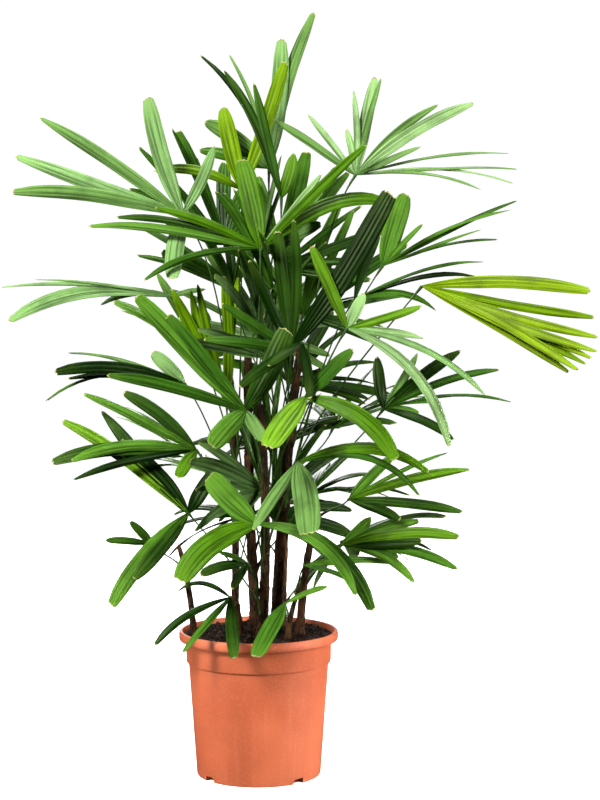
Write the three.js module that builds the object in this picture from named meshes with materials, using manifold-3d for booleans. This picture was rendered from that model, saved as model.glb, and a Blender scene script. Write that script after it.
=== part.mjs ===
// A potted lady palm: a clump of thin, fibre-clad canes that carry fans of long leaflets.
// Millimetres, +Z up. The origin is the centre of the pot's flat underside.
// The fronds of the front and the sides are listed below one by one, and two rules add those
// of the heart and the back. Every leaflet is a thin blade, free of its neighbours down to the
// hub, and is swung, lifted, shortened or left out until it stays clear of everything placed
// before it. A frond whose stalk finds no clear way to its hub is left out whole.

import * as THREE from "three";
import { mergeVertices } from "three/addons/utils/BufferGeometryUtils.js";
import Module from "manifold-3d";

const wasm = await Module();
wasm.setup();

// ---------------------------------------------------------------- driving dimensions
const POT_HEIGHT = 218;
const BASE_RADIUS = 93.5;
const SHOULDER_RADIUS = 105.5;
const COLLAR_RADIUS = 109;
const RIM_RADIUS = 120;
const COLLAR_FROM = 172;
const LIP_HEIGHT = 15;
const WALL = 2.4;
const FLOOR = 11;
const POT_SIDES = 28;
const NOTCH_ANGLES = [-50, 40, 130, 220];
const NOTCH = { wide: 18, high: 8, deep: 11 };
const SOIL_LEVEL = 212;
const GAP = 0.3;

// A blade's section is a flat triangle: a three-sided cylinder spans these parts of its radius.
const KEEL_HEIGHT = 1.5;
const KEEL_HALF = Math.cos(Math.PI / 6);

// A cane loses a share of its radius up its length, flares at the root and ends blunt.
const STEM_SIDES = 8;
const STEM_SPANS = 7;
const STEM_TAPER = 0.28;
const ROOT_FLARE = { share: 0.35, fall: 22 };
const STEM_TIP = { from: 0.94, share: 0.75 };
const RINGS_TO_FOOT = 1.35;

// A stalk leaves its cane this far out, and is steered by shares of its span.
const STALK_RADIUS = 2;
const STALK_SIDES = 3;
const STALK_SPANS = 5;
const STALK_HIGHEST = 0.92;
const STALK_OUT = { clear: 10, share: 0.05 };
const STALK_RISE = 0.3;
const STALK_LAST = { back: 0.16, down: 0.2 };
const SECTION_WAY = new THREE.Vector3(0.31, 0.95, 0.05);

const HUB_RADIUS = 7;
const BLADE_THICKNESS = 1 / 95;
const BLADE_CUP = 12;
const LEAFLET_TOSS = 6;
const BLADE_THINNEST = 1.2;
const BLADE_ROOT = { share: 0.08, swell: 2.6 };
const BLADE_TIP = { from: 0.7, cut: 0.62 };
const SAG = { first: 0.3, gain: 1.4 };
const PATH_STEPS = 12;
const BLADE_STATIONS = [0, 4, 9, 12];
const DROOPING_STATIONS = [0, 3, 6, 10, 12];
const DROOPING_FROM = 0.4;
const CLEAR_NORMAL = 7;
const CLEAR_SIDE = 5;
const CLEAR_ROUND = 6;
const RIM_KEEP_OUT = { radius: RIM_RADIUS + 6, height: POT_HEIGHT + 4 };

// How far the fronds that the rules add differ from each other.
const TIER_REACH = [0.85, 1.15];
const TIER_ROLL = 22;
const TIER_ANGLE = 6;
const TIER_WIDTH = [0.72, 1.1];
const TIER_OUTER_LENGTH = 0.72;

// Where the canes stand on the soil, where they end, and how thick they are at the foot.
const STEMS = {
  stem_centre: { foot: [-4, 12], top: [-16, 20, 640], bow: [-4, 6], radius: 8.2 },
  stem_front: { foot: [6, -26], top: [4, -36, 560], bow: [6, -4], radius: 7.8 },
  stem_right: { foot: [26, 6], top: [64, 0, 650], bow: [-6, 2], radius: 8.4 },
  stem_right_low: { foot: [62, -10], top: [88, -18, 405], bow: [-4, 0], radius: 6.5 },
  stem_left_low: { foot: [-98, -6], top: [-120, -2, 345], bow: [4, 0], radius: 5 },
  stem_behind: { foot: [-38, 52], top: [-44, 70, 600], bow: [4, -4], radius: 6 },
  stem_back: { foot: [34, 60], top: [58, 104, 620], bow: [-4, -8], radius: 6.8 },
  shoot: { foot: [44, -42], top: [62, -56, 290], bow: [-3, 2], radius: 4.5 },
  stump: { foot: [-30, -16], top: [-34, -20, 262], bow: [0, 0], radius: 8.5 },
};

// One row a frond: the cane, the height where its stalk leaves, the hub where the leaflets
// meet, and the way the fan points (turn, rise, roll). Then, a leaflet at a time, its angle
// in the fan, its length, its width and how far it droops.
const FRONDS = [
  {
    name: "front_bright", stem: "stem_front", from: 290,
    hub: [0, -135, 395], aim: [-90, -50, 0], tone: "fresh",
    fan: [[-71, 145, 38, 1.3], [86, 225, 22, 2], [75, 190, 20, 1.5], [-136, 100, 34, 0.15]],
  },
  {
    name: "low_centre", stem: "stem_front", from: 330,
    hub: [60, -150, 485], aim: [-88, -48, 0], tone: "mid",
    fan: [[-31, 140, 17, 0.35], [5, 140, 36, 0.45], [105, 195, 22, 1], [98, 190, 13, 1.3]],
  },
  {
    name: "front_centre", stem: "stem_front", from: 400,
    hub: [70, -185, 580], aim: [-88, -48, 0], tone: "fresh",
    fan: [[-33, 115, 34, 0.5], [66, 165, 30, 1.1], [139, 100, 22, 0.3]],
  },
  {
    name: "front_left", stem: "stem_front", from: 330,
    hub: [-15, -165, 560], aim: [170, 30, -70], tone: "mid",
    fan: [[-17, 225, 26, 0.15], [-22, 175, 22, 0.2], [13, 200, 17, 0.25], [77, 75, 29, 0.35],
          [155, 55, 19, 0.35], [-97, 130, 31, 0.1]],
  },
  {
    name: "front_broad", stem: "stem_front", from: 430,
    hub: [65, -150, 655], aim: [-100, -60, 0], tone: "dark",
    fan: [[-56, 115, 17, 0.5], [-58, 65, 16, 0.3], [14, 95, 15, 0.3]],
  },
  {
    name: "foot_left", stem: "stump", from: 245,
    hub: [-40, -80, 280], aim: [250, -40, 0], tone: "mid",
    fan: [[-121, 120, 9, 1.2], [-52, 135, 13, 0.9], [-24, 115, 14, 0.45], [22, 135, 19, 0.1]],
  },
  {
    name: "foot_front", stem: "shoot", from: 235,
    hub: [40, -105, 275], aim: [250, -50, 0], tone: "mid",
    fan: [[-11, 100, 29, 0.25], [121, 70, 9, 0.5]],
  },
  {
    name: "upper_left", stem: "stem_centre", from: 400,
    hub: [-110, -40, 840], aim: [180, 0, -72], tone: "pale",
    fan: [[-12, 250, 21, 0.28], [-23, 260, 22, 0.2], [-37, 255, 19, 0.16], [-73, 180, 26, 0.05],
          [-116, 110, 17, 0.05], [83, 110, 27, 0.05]],
  },
  {
    name: "left_arc", stem: "stem_centre", from: 380,
    hub: [-130, 30, 720], aim: [182, 15, -42], tone: "pale",
    fan: [[24, 265, 25, 0.62], [18, 260, 6, 0.2], [17, 215, 6, 0.25], [11, 115, 17, 0.9],
          [-138, 55, 12, 0.5]],
  },
  {
    name: "upper_centre", stem: "stem_centre", from: 440,
    hub: [5, -70, 790], aim: [90, 58, 0], tone: "fresh",
    fan: [[67, 165, 15, 0.3], [73, 255, 15, 0.5], [69, 215, 12, 0.3], [12, 140, 31, 0.05],
          [-37, 145, 14, 0.1], [-43, 220, 15, 0.2], [-37, 225, 25, 1], [98, 180, 11, 0.6]],
  },
  {
    name: "top_dark", stem: "stem_centre", from: 470,
    hub: [35, -30, 865], aim: [90, 66, 0], tone: "dark",
    fan: [[22, 250, 9, 0.7], [20, 210, 14, 0.5], [12, 175, 14, 0.35], [-15, 70, 20, 0]],
  },
  {
    name: "top_pale", stem: "stem_back", from: 440,
    hub: [15, 70, 915], aim: [90, 70, 0], tone: "pale",
    fan: [[52, 120, 25, 0.3], [68, 110, 20, 0.4], [16, 190, 7, 0.4], [-5, 205, 26, 0.2],
          [-14, 260, 20, 0.2]],
  },
  {
    name: "upper_young", stem: "stem_behind", from: 430,
    hub: [-25, 20, 880], aim: [90, 68, 0], tone: "young",
    fan: [[67, 135, 17, 0.6], [13, 130, 26, 0.05], [-15, 210, 22, 0.5]],
  },
  {
    name: "top_right", stem: "stem_right", from: 500,
    hub: [145, 0, 900], aim: [0, 10, 60], tone: "pale",
    fan: [[133, 150, 13, 0.2], [115, 120, 10, 0.15], [90, 75, 11, 0.1], [81, 135, 10, 0.05],
          [70, 165, 20, 0.05], [66, 160, 9, 0.05], [34, 165, 13, 0.2], [24, 205, 21, 0.25],
          [13, 105, 12, 0.3], [2, 230, 5, 0.3], [-4, 240, 5, 0.35], [-8, 235, 5, 0.4],
          [-17, 195, 5, 0.4]],
  },
  {
    name: "upper_right", stem: "stem_right", from: 470,
    hub: [185, -20, 765], aim: [0, 10, 60], tone: "mid",
    fan: [[63, 120, 31, 0], [19, 220, 8, 0.3], [15, 205, 6, 0.3], [12, 155, 6, 0.3],
          [9, 175, 5, 0.35], [41, 90, 9, 0.2]],
  },
  {
    name: "right_young", stem: "stem_right", from: 430,
    hub: [240, -70, 735], aim: [-4, 0, 70], tone: "young",
    fan: [[-4, 245, 20, 0.1], [-13, 255, 14, 0.06], [-20, 270, 15, 0.06], [-25, 280, 14, 0.06],
          [-27, 275, 14, 0.05], [-29, 270, 14, 0.05], [-34, 275, 14, 0.05], [-34, 255, 13, 0.05]],
  },
  {
    name: "mid_tall", stem: "stem_right", from: 400,
    hub: [50, -110, 645], aim: [90, 72, 0], tone: "dark",
    fan: [[85, 130, 16, 0.3], [56, 120, 15, 0.2], [26, 140, 15, 0.1], [7, 170, 21, 0],
          [-1, 185, 16, 0], [-32, 195, 20, 0.1], [-32, 265, 32, 0.1]],
  },
  {
    name: "mid_right", stem: "stem_right", from: 420,
    hub: [130, -130, 675], aim: [10, 10, 60], tone: "pale",
    fan: [[93, 130, 18, 0.05], [-29, 225, 11, 0.75], [-43, 235, 16, 1.6], [-11, 110, 12, 0.5],
          [54, 60, 18, 0.1], [4, 110, 15, 0.1]],
  },
  {
    name: "right_edge", stem: "stem_back", from: 430,
    hub: [145, 40, 715], aim: [5, 8, 45], tone: "mid",
    fan: [[16, 210, 6, 0.6], [21, 205, 9, 0.8], [10, 135, 17, 1.2], [61, 120, 14, 0.2]],
  },
  {
    name: "left_mid", stem: "stem_centre", from: 340,
    hub: [-110, -10, 590], aim: [180, 5, -55], tone: "mid",
    fan: [[-21, 185, 7, 0.5], [-2, 195, 21, 0.4], [-3, 175, 14, 0.35], [-6, 215, 5, 0.9],
          [-42, 70, 22, 0.2]],
  },
  {
    name: "left_low_mid", stem: "stem_front", from: 310,
    hub: [-90, -60, 495], aim: [180, 5, -55], tone: "mid",
    fan: [[-1, 215, 26, 0.6], [4, 185, 19, 0.5], [15, 190, 13, 0.5], [-23, 185, 16, 0.3],
          [-37, 140, 20, 0.25], [67, 60, 21, 0.2]],
  },
  {
    name: "young_upright", stem: "stem_centre", from: 350,
    hub: [-45, -60, 565], aim: [90, 74, 0], tone: "young",
    fan: [[26, 185, 18, 0.05], [18, 175, 16, 0.02], [10, 180, 14, 0.02], [1, 185, 17, 0],
          [-5, 185, 15, 0]],
  },
  {
    name: "right_mid", stem: "stem_right", from: 360,
    hub: [185, -60, 555], aim: [0, 5, 55], tone: "mid",
    fan: [[91, 80, 18, 0.1], [57, 105, 14, 0.2], [35, 145, 19, 0.2], [17, 180, 13, 0.4],
          [7, 190, 6, 0.5], [-18, 120, 14, 0.9], [-9, 55, 14, 0.4]],
  },
  {
    name: "low_left_dark", stem: "stem_front", from: 270,
    hub: [-100, -90, 405], aim: [182, 0, -62], tone: "dark",
    fan: [[-43, 235, 18, 0.35], [-54, 205, 20, 0.25], [-49, 150, 27, 0.2], [50, 180, 24, 0.25],
          [51, 130, 22, 0.25], [-119, 75, 22, 0.2]],
  },
  {
    name: "right_low", stem: "stem_right_low", from: 385,
    hub: [135, -40, 420], aim: [0, 4, 55], tone: "dark",
    fan: [[-7, 170, 17, 0.35], [13, 185, 16, 0.25], [29, 165, 7, 0.4], [45, 100, 18, 0.15],
          [-21, 85, 16, 0.5]],
  },
  {
    name: "right_lowest", stem: "stem_right_low", from: 310,
    hub: [125, -60, 355], aim: [0, 4, 55], tone: "mid",
    fan: [[-9, 175, 17, 0.5], [6, 175, 18, 0.4], [19, 120, 16, 0.3], [-4, 120, 22, 0.2],
          [-14, 125, 15, 1.1], [42, 60, 18, 0.1]],
  },
  {
    name: "foot_right", stem: "shoot", from: 270,
    hub: [70, -100, 330], aim: [-30, -20, 10], tone: "mid",
    fan: [[56, 145, 24, 0.5], [77, 90, 14, 0.3], [20, 95, 18, 0.9]],
  },
  {
    name: "foot_inner", stem: "stem_front", from: 262,
    hub: [-15, -75, 330], aim: [190, -5, -30], tone: "dark",
    fan: [[8, 75, 22, 0.5], [-28, 55, 14, 0.4], [59, 65, 14, 0.4]],
  },
  {
    name: "left_small", stem: "stem_left_low", from: 300,
    hub: [-165, 60, 340], aim: [180, 10, -50], tone: "dark",
    fan: [[7, 75, 12, 0.4], [-36, 50, 16, 0.15]],
  },
];

// The fronds of the back: tiers up the clump, each turned on from the last.
const BACK = {
  name: "back",
  count: 14,
  stems: ["stem_back", "stem_behind", "stem_centre", "stem_back"],
  firstTurn: 0,
  turn: 59,
  sweep: [42, 138],
  height: [330, 800],
  reach: [175, 95],
  centre: [8, 30],
  from: [235, 560],
  rise: [-2, 58],
  roll: 0,
  length: [175, 215],
  width: 25,
  toss: 17,
  droop: [0.75, 0.25],
  fan: [-94, -56, -26, 4, 36, 76],
  tones: ["mid", "dark", "mid", "pale", "dark", "mid"],
};

// Smaller fronds that fill the heart of the clump, upright and set across it.
const INNER = {
  name: "inner",
  count: 9,
  stems: ["stem_centre", "stem_back"],
  firstTurn: 74,
  turn: 184,
  sweep: [0, 360],
  height: [380, 780],
  reach: [30, 40],
  centre: [14, 10],
  from: [300, 540],
  rise: [40, 70],
  roll: 85,
  length: [160, 185],
  width: 24,
  toss: 17,
  droop: [0.5, 0.3],
  fan: [-88, -50, -20, 10, 42, 80],
  tones: ["dark", "mid", "mid"],
};

const COLOURS = {
  pot: "#de7048",
  soil: "#2c1c12",
  cane: "#3c281c",
  pale: "#86a878",
  mid: "#4c8038",
  dark: "#28521f",
  fresh: "#6aa030",
  young: "#9cc43c",
};

// ---------------------------------------------------------------- small helpers
const radians = THREE.MathUtils.degToRad;
const mix = THREE.MathUtils.lerp;
const up = new THREE.Vector3(0, 0, 1);

// A repeatable number from 0 to 1 for the place a, b.
function chance(a, b) {
  const value = Math.sin(a * 12.9898 + b * 78.233) * 43758.5453;
  return value - Math.floor(value);
}

function material(colour, roughness) {
  return new THREE.MeshStandardMaterial({ color: colour, roughness, metalness: 0 });
}

// A closed geometry as a solid that can be joined and cut.
function solid(geometry) {
  const bare = geometry.clone();
  bare.deleteAttribute("normal");
  bare.deleteAttribute("uv");
  const merged = mergeVertices(bare, 1e-4);
  const vertProperties = new Float32Array(merged.attributes.position.array);
  const triVerts = new Uint32Array(merged.index.array);
  return new wasm.Manifold(new wasm.Mesh({ numProp: 3, vertProperties, triVerts }));
}

function geometryOf(manifold) {
  const mesh = manifold.getMesh();
  const geometry = new THREE.BufferGeometry();
  geometry.setAttribute("position", new THREE.BufferAttribute(mesh.vertProperties, 3));
  geometry.setIndex(new THREE.BufferAttribute(mesh.triVerts, 1));
  geometry.computeVertexNormals();
  return geometry;
}

// Carries a unit cylinder onto a path: its height runs along the path, its cross-section
// is laid on the side and lift directions that place(t) gives there.
function bend(sides, spans, place) {
  const geometry = new THREE.CylinderGeometry(1, 1, 1, sides, spans);
  const position = geometry.attributes.position;
  for (let i = 0; i < position.count; i += 1) {
    const at = place(position.getY(i) + 0.5);
    const point = at.point.clone();
    point.addScaledVector(at.side, position.getX(i) * at.wide);
    point.addScaledVector(at.lift, position.getZ(i) * at.thick);
    position.setXYZ(i, point.x, point.y, point.z);
  }
  geometry.computeVertexNormals();
  return geometry;
}

// ---------------------------------------------------------------- pot and soil
function potGeometry() {
  const lipFrom = POT_HEIGHT - LIP_HEIGHT;
  const profile = [
    [0, 0],
    [BASE_RADIUS - 2, 0],
    [BASE_RADIUS, 2],
    [SHOULDER_RADIUS, COLLAR_FROM - 2],
    [COLLAR_RADIUS, COLLAR_FROM],
    [COLLAR_RADIUS + 0.6, lipFrom],
    [RIM_RADIUS - 0.6, lipFrom + 1.5],
    [RIM_RADIUS, lipFrom + 5],
    [RIM_RADIUS - 0.6, POT_HEIGHT - 2],
    [RIM_RADIUS - 3, POT_HEIGHT],
    [RIM_RADIUS - 6, POT_HEIGHT],
    [COLLAR_RADIUS - 1, lipFrom - 2],
    [COLLAR_RADIUS - WALL, COLLAR_FROM + WALL],
    [SHOULDER_RADIUS - WALL, COLLAR_FROM - 2],
    [BASE_RADIUS - WALL + 0.6, FLOOR],
    [0, FLOOR],
  ].map(([x, y]) => new THREE.Vector2(x, y));
  const lathe = new THREE.LatheGeometry(profile, POT_SIDES);
  lathe.rotateX(Math.PI / 2);
  let pot = solid(lathe);
  for (const angle of NOTCH_ANGLES) {
    const block = new THREE.BoxGeometry(NOTCH.deep * 2, NOTCH.wide, NOTCH.high * 2);
    block.translate(BASE_RADIUS + 1, 0, 0);
    block.rotateZ(radians(angle - 90));
    pot = pot.subtract(solid(block));
  }
  return geometryOf(pot);
}

function soilGeometry() {
  const shoulder = SHOULDER_RADIUS - WALL - GAP;
  const profile = [
    [0, FLOOR + GAP],
    [BASE_RADIUS - WALL + 0.6 - GAP, FLOOR + GAP],
    [shoulder, COLLAR_FROM - 2],
    [COLLAR_RADIUS - WALL - GAP - 0.5, COLLAR_FROM + WALL + 0.6],
    [COLLAR_RADIUS - 1.7, SOIL_LEVEL - 12],
    [COLLAR_RADIUS + 1.4, SOIL_LEVEL - 2],
    [COLLAR_RADIUS + 1.6, SOIL_LEVEL],
    [0, SOIL_LEVEL],
  ].map(([x, y]) => new THREE.Vector2(x, y));
  const lathe = new THREE.LatheGeometry(profile, POT_SIDES);
  lathe.rotateX(Math.PI / 2);
  return geometryOf(solid(lathe));
}

// ---------------------------------------------------------------- canes
function stemCurve(stem) {
  const foot = new THREE.Vector3(stem.foot[0], stem.foot[1], SOIL_LEVEL + GAP);
  const top = new THREE.Vector3(...stem.top);
  const middle = foot.clone().lerp(top, 0.5);
  middle.x += stem.bow[0] * 2;
  middle.y += stem.bow[1] * 2;
  return new THREE.QuadraticBezierCurve3(foot, middle, top);
}

// Thick at the root flare, tapering up the cane to a blunt tip.
function stemRadius(stem, t) {
  const flare = ROOT_FLARE.share * Math.exp(-t * ROOT_FLARE.fall);
  const tip = t > STEM_TIP.from ? STEM_TIP.share : 1;
  return stem.radius * (1 - STEM_TAPER * t + flare) * tip;
}

// A cane grown by a margin on each of its flat faces is the tool that trims a stalk's foot.
function stemGeometry(stem, margin = 0) {
  const curve = stemCurve(stem);
  const place = (t) => {
    // Rings crowd towards the foot, where the flare is.
    const along = Math.pow(t, RINGS_TO_FOOT);
    const radius = stemRadius(stem, along) + margin / Math.cos(Math.PI / STEM_SIDES);
    // Level rings keep the foot flat on the soil.
    return {
      point: curve.getPoint(along),
      side: new THREE.Vector3(1, 0, 0),
      lift: new THREE.Vector3(0, -1, 0),
      wide: radius,
      thick: radius,
    };
  };
  return bend(STEM_SIDES, STEM_SPANS, place);
}

// ---------------------------------------------------------------- fronds
// Directions of a fan: out along its middle, its upper normal, and across it.
function fanFrame([azimuth, elevation, roll]) {
  const out = new THREE.Vector3(
    Math.cos(radians(elevation)) * Math.cos(radians(azimuth)),
    Math.cos(radians(elevation)) * Math.sin(radians(azimuth)),
    Math.sin(radians(elevation)),
  );
  const level = up.clone().addScaledVector(out, -up.dot(out)).normalize();
  const normal = level.clone().multiplyScalar(Math.cos(radians(roll)));
  normal.addScaledVector(out.clone().cross(level), Math.sin(radians(roll)));
  const across = normal.clone().cross(out);
  return { out, normal, across };
}

// A leaflet's middle line from the hub to its tip, sagging as it goes, with the directions
// and the half width at each step.
function leafletPath(frond, leaf, order, change) {
  const { out, normal, across } = fanFrame(frond.aim);
  const [angle, long, width, droop] = leaf;
  const turn = radians(angle + change.swing);
  const toss = frond.toss ?? LEAFLET_TOSS;
  const tilt = mix(-toss, toss, chance(order + 3, frond.seed));
  const cup = radians(BLADE_CUP + tilt + change.lift);
  const flat = out.clone().multiplyScalar(Math.cos(turn)).addScaledVector(across, Math.sin(turn));
  const heading = flat.clone().multiplyScalar(Math.cos(cup)).addScaledVector(normal, Math.sin(cup));
  const lift = normal.clone().multiplyScalar(Math.cos(cup)).addScaledVector(flat, -Math.sin(cup));
  const length = long * change.short;
  const point = new THREE.Vector3(...frond.hub);
  const path = [];
  for (let step = 0; step <= PATH_STEPS; step += 1) {
    const t = step / PATH_STEPS;
    path.push({
      point: point.clone(),
      side: heading.clone().cross(lift),
      lift: lift.clone(),
      along: heading.clone(),
      half: (width / 2) * leafletWidth(t),
    });
    const sag = droop * (SAG.first + SAG.gain * (t + 0.5 / PATH_STEPS));
    heading.addScaledVector(up, -sag / PATH_STEPS);
    heading.normalize();
    lift.addScaledVector(heading, -lift.dot(heading)).normalize();
    point.addScaledVector(heading, length / PATH_STEPS);
  }
  return { path, length, droop };
}

// Narrow at the hub, widest past the middle, and cut short at the tip.
function leafletWidth(t) {
  const swell = Math.min(1, BLADE_ROOT.share + BLADE_ROOT.swell * t);
  const tip = Math.max(0, (t - BLADE_TIP.from) / (1 - BLADE_TIP.from));
  return swell * (1 - BLADE_TIP.cut * tip * tip);
}

function leafletGeometry(leaflet) {
  const thick = Math.max(leaflet.length * BLADE_THICKNESS, BLADE_THINNEST) / KEEL_HEIGHT;
  const stations = leaflet.droop < DROOPING_FROM ? BLADE_STATIONS : DROOPING_STATIONS;
  return bend(3, stations.length - 1, (t) => {
    const station = stations[Math.round(t * (stations.length - 1))];
    const at = leaflet.path[station];
    return { point: at.point, side: at.side, lift: at.lift, wide: at.half / KEEL_HALF, thick };
  });
}

// The stalk starts in the cane, climbs out of it and arches over to the hub. The part inside
// the cane is trimmed off afterwards, 0.3 mm clear.
function stalkCurve(frond, change) {
  const stem = STEMS[frond.stem];
  const low = SOIL_LEVEL + GAP;
  const t = (frond.from + change.climb - low) / (stem.top[2] - low);
  const start = stemCurve(stem).getPoint(Math.min(t, STALK_HIGHEST));
  const hub = new THREE.Vector3(...frond.hub);
  const away = new THREE.Vector3(hub.x - start.x, hub.y - start.y, 0).normalize();
  away.applyAxisAngle(up, radians(change.turn));
  const span = hub.distanceTo(start);
  const first = start.clone().addScaledVector(up, span * STALK_RISE);
  first.addScaledVector(away, stem.radius + STALK_OUT.clear + span * STALK_OUT.share);
  const { out } = fanFrame(frond.aim);
  const last = hub.clone().addScaledVector(out, -span * STALK_LAST.back);
  last.addScaledVector(up, -span * STALK_LAST.down);
  last.addScaledVector(away.clone().cross(up), change.bow);
  return new THREE.CubicBezierCurve3(start, first, last, hub);
}

function stalkGeometry(curve) {
  const place = (t) => {
    const along = curve.getTangent(t);
    const side = along.clone().cross(SECTION_WAY).normalize();
    const lift = side.clone().cross(along);
    return { point: curve.getPoint(t), side, lift, wide: STALK_RADIUS, thick: STALK_RADIUS };
  };
  return bend(STALK_SIDES, STALK_SPANS, place);
}

// ---------------------------------------------------------------- keeping clear
// Round things are kept as balls along their middle line, blades as short flat spans.
const balls = [];
const blades = [];

function addBalls(curve, radiusAt, count, owner) {
  for (let i = 0; i <= count; i += 1) {
    balls.push({ point: curve.getPoint(i / count), radius: radiusAt(i / count), owner });
  }
}

function ballsClear(points, radius, owner, gap) {
  return points.every((point) => balls.every((ball) => (
    ball.owner === owner || point.distanceTo(ball.point) > ball.radius + radius + gap
  )));
}

// Points spread over a leaflet, past the part that is sunk in the hub.
function leafletPoints(leaflet) {
  const points = [];
  for (const at of leaflet.path.slice(1)) {
    for (const share of [-1, -0.5, 0, 0.5, 1]) {
      points.push(at.point.clone().addScaledVector(at.side, share * at.half));
    }
  }
  return points;
}

function nearBlade(point, blade) {
  for (let i = 0; i < PATH_STEPS; i += 1) {
    const at = blade.path[i];
    const next = blade.path[i + 1];
    const offset = point.clone().sub(at.point);
    const step = at.point.distanceTo(next.point);
    const run = next.point.clone().sub(at.point).divideScalar(step);
    const along = offset.dot(run);
    const half = Math.max(at.half, next.half) + CLEAR_SIDE;
    const beside = Math.abs(offset.dot(at.side));
    const above = Math.abs(offset.dot(at.lift));
    if (along > -CLEAR_SIDE && along < step + CLEAR_SIDE && beside < half && above < CLEAR_NORMAL) {
      return true;
    }
  }
  return false;
}

function leafletClear(leaflet, frond) {
  const points = leafletPoints(leaflet);
  const { radius, height } = RIM_KEEP_OUT;
  if (points.some((p) => p.z < height && Math.hypot(p.x, p.y) < radius)) {
    return false;
  }
  if (!ballsClear(points, 0, frond.name, CLEAR_ROUND)) {
    return false;
  }
  const box = new THREE.Box3().setFromPoints(points).expandByScalar(CLEAR_NORMAL + CLEAR_SIDE);
  const near = blades.filter((blade) => blade.owner !== frond.name && blade.box.intersectsBox(box));
  return near.every((blade) => points.every((point) => !nearBlade(point, blade)));
}

// ---------------------------------------------------------------- growing the crown
function tier(rule) {
  const rows = [];
  for (let i = 0; i < rule.count; i += 1) {
    const share = i / (rule.count - 1);
    const width = rule.sweep[1] - rule.sweep[0];
    const azimuth = rule.sweep[0] + ((rule.firstTurn + i * rule.turn) % width);
    const reach = mix(...rule.reach, share) * mix(...TIER_REACH, chance(i, 3));
    const height = mix(...rule.height, share);
    rows.push({
      name: `${rule.name}_${String(i + 1).padStart(2, "0")}`,
      stem: rule.stems[i % rule.stems.length],
      from: mix(...rule.from, share),
      hub: [
        rule.centre[0] + reach * Math.cos(radians(azimuth)),
        rule.centre[1] + reach * Math.sin(radians(azimuth)),
        height,
      ],
      aim: [
        azimuth,
        mix(...rule.rise, share),
        rule.roll + mix(-TIER_ROLL, TIER_ROLL, chance(i, 5)),
      ],
      toss: rule.toss,
      fan: rule.fan.map((angle, k) => [
        angle + mix(-TIER_ANGLE, TIER_ANGLE, chance(i, k + 11)),
        mix(...rule.length, chance(i, 9)) * mix(TIER_OUTER_LENGTH, 1, Math.cos(radians(angle))),
        rule.width * mix(...TIER_WIDTH, chance(i, k + 23)),
        mix(...rule.droop, share),
      ]),
      tone: rule.tones[i % rule.tones.length],
    });
  }
  return rows;
}

const fronds = [...FRONDS, ...tier(INNER), ...tier(BACK)];
fronds.forEach((frond, i) => {
  frond.seed = i + 1;
});

for (const [name, stem] of Object.entries(STEMS)) {
  addBalls(stemCurve(stem), (t) => stemRadius(stem, t), 60, name);
}

// All the stalks are placed before any leaflet.
const STALK_GAP = 3;
const STALK_FREE_FROM = 9;
const STALK_CLIMBS = [0, -12, 12, -24, 24, -36, -48, -60];
const STALK_TURNS = [0, 25, -25, 50, -50, 80, -80];
const STALK_BOWS = [0, 16, -16, 32, -32, 48, -48, 64, -64];

function placeStalk(frond) {
  for (const bow of STALK_BOWS) {
    for (const climb of STALK_CLIMBS) {
      for (const turn of STALK_TURNS) {
        const curve = stalkCurve(frond, { climb, turn, bow });
        const points = curve.getPoints(30);
        // The foot of the stalk may run close beside its own cane, and nothing else.
        const beyondFoot = points.slice(STALK_FREE_FROM);
        const clear = ballsClear(points, STALK_RADIUS, frond.stem, STALK_GAP)
          && ballsClear(beyondFoot, STALK_RADIUS, "", STALK_GAP);
        if (clear) {
          return curve;
        }
      }
    }
  }
  return null;
}

const stalks = new Map();
for (const frond of fronds) {
  const curve = placeStalk(frond);
  if (curve) {
    stalks.set(frond.name, curve);
    addBalls(curve, (t) => (t === 1 ? HUB_RADIUS : STALK_RADIUS), 40, frond.name);
  }
}

const LEAFLET_SHORTS = [1, 0.86, 0.72, 0.58];
const LEAFLET_LIFTS = [0, 6, -6, 12, -12, 20];
const LEAFLET_SWINGS = [0, 4, -4, 8, -8, 12, -12];

function placeLeaflet(frond, leaf, order) {
  for (const short of LEAFLET_SHORTS) {
    for (const lift of LEAFLET_LIFTS) {
      for (const swing of LEAFLET_SWINGS) {
        const leaflet = leafletPath(frond, leaf, order, { short, lift, swing });
        if (leafletClear(leaflet, frond)) {
          return leaflet;
        }
      }
    }
  }
  return null;
}

// ---------------------------------------------------------------- the part
const palm = new THREE.Group();

function addMesh(name, geometry, colour, roughness) {
  const mesh = new THREE.Mesh(geometry, material(colour, roughness));
  mesh.name = name;
  palm.add(mesh);
}

addMesh("pot", potGeometry(), COLOURS.pot, 0.55);
addMesh("root_ball", soilGeometry(), COLOURS.soil, 0.95);
for (const [name, stem] of Object.entries(STEMS)) {
  addMesh(name, geometryOf(solid(stemGeometry(stem))), COLOURS.cane, 0.9);
}

for (const frond of fronds.filter((row) => stalks.has(row.name))) {
  const placed = [];
  frond.fan.forEach((angle, order) => {
    const leaflet = placeLeaflet(frond, angle, order);
    if (leaflet) {
      leaflet.owner = frond.name;
      leaflet.box = new THREE.Box3().setFromPoints(leafletPoints(leaflet));
      blades.push(leaflet);
      placed.push(leaflet);
    }
  });
  const hub = new THREE.IcosahedronGeometry(HUB_RADIUS, 0);
  hub.translate(...frond.hub);
  let body = solid(hub).add(solid(stalkGeometry(stalks.get(frond.name))));
  for (const leaflet of placed) {
    body = body.add(solid(leafletGeometry(leaflet)));
  }
  body = body.subtract(solid(stemGeometry(STEMS[frond.stem], GAP)));
  if (placed.length > 0) {
    addMesh(`frond_${frond.name}`, geometryOf(body), COLOURS[frond.tone], 0.5);
  }
}

export default palm;
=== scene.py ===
"""Looks of a potted lady palm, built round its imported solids. Blender 4.5."""

from itertools import pairwise, product
from math import cos, floor, pi, radians, sin
from types import SimpleNamespace

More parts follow.
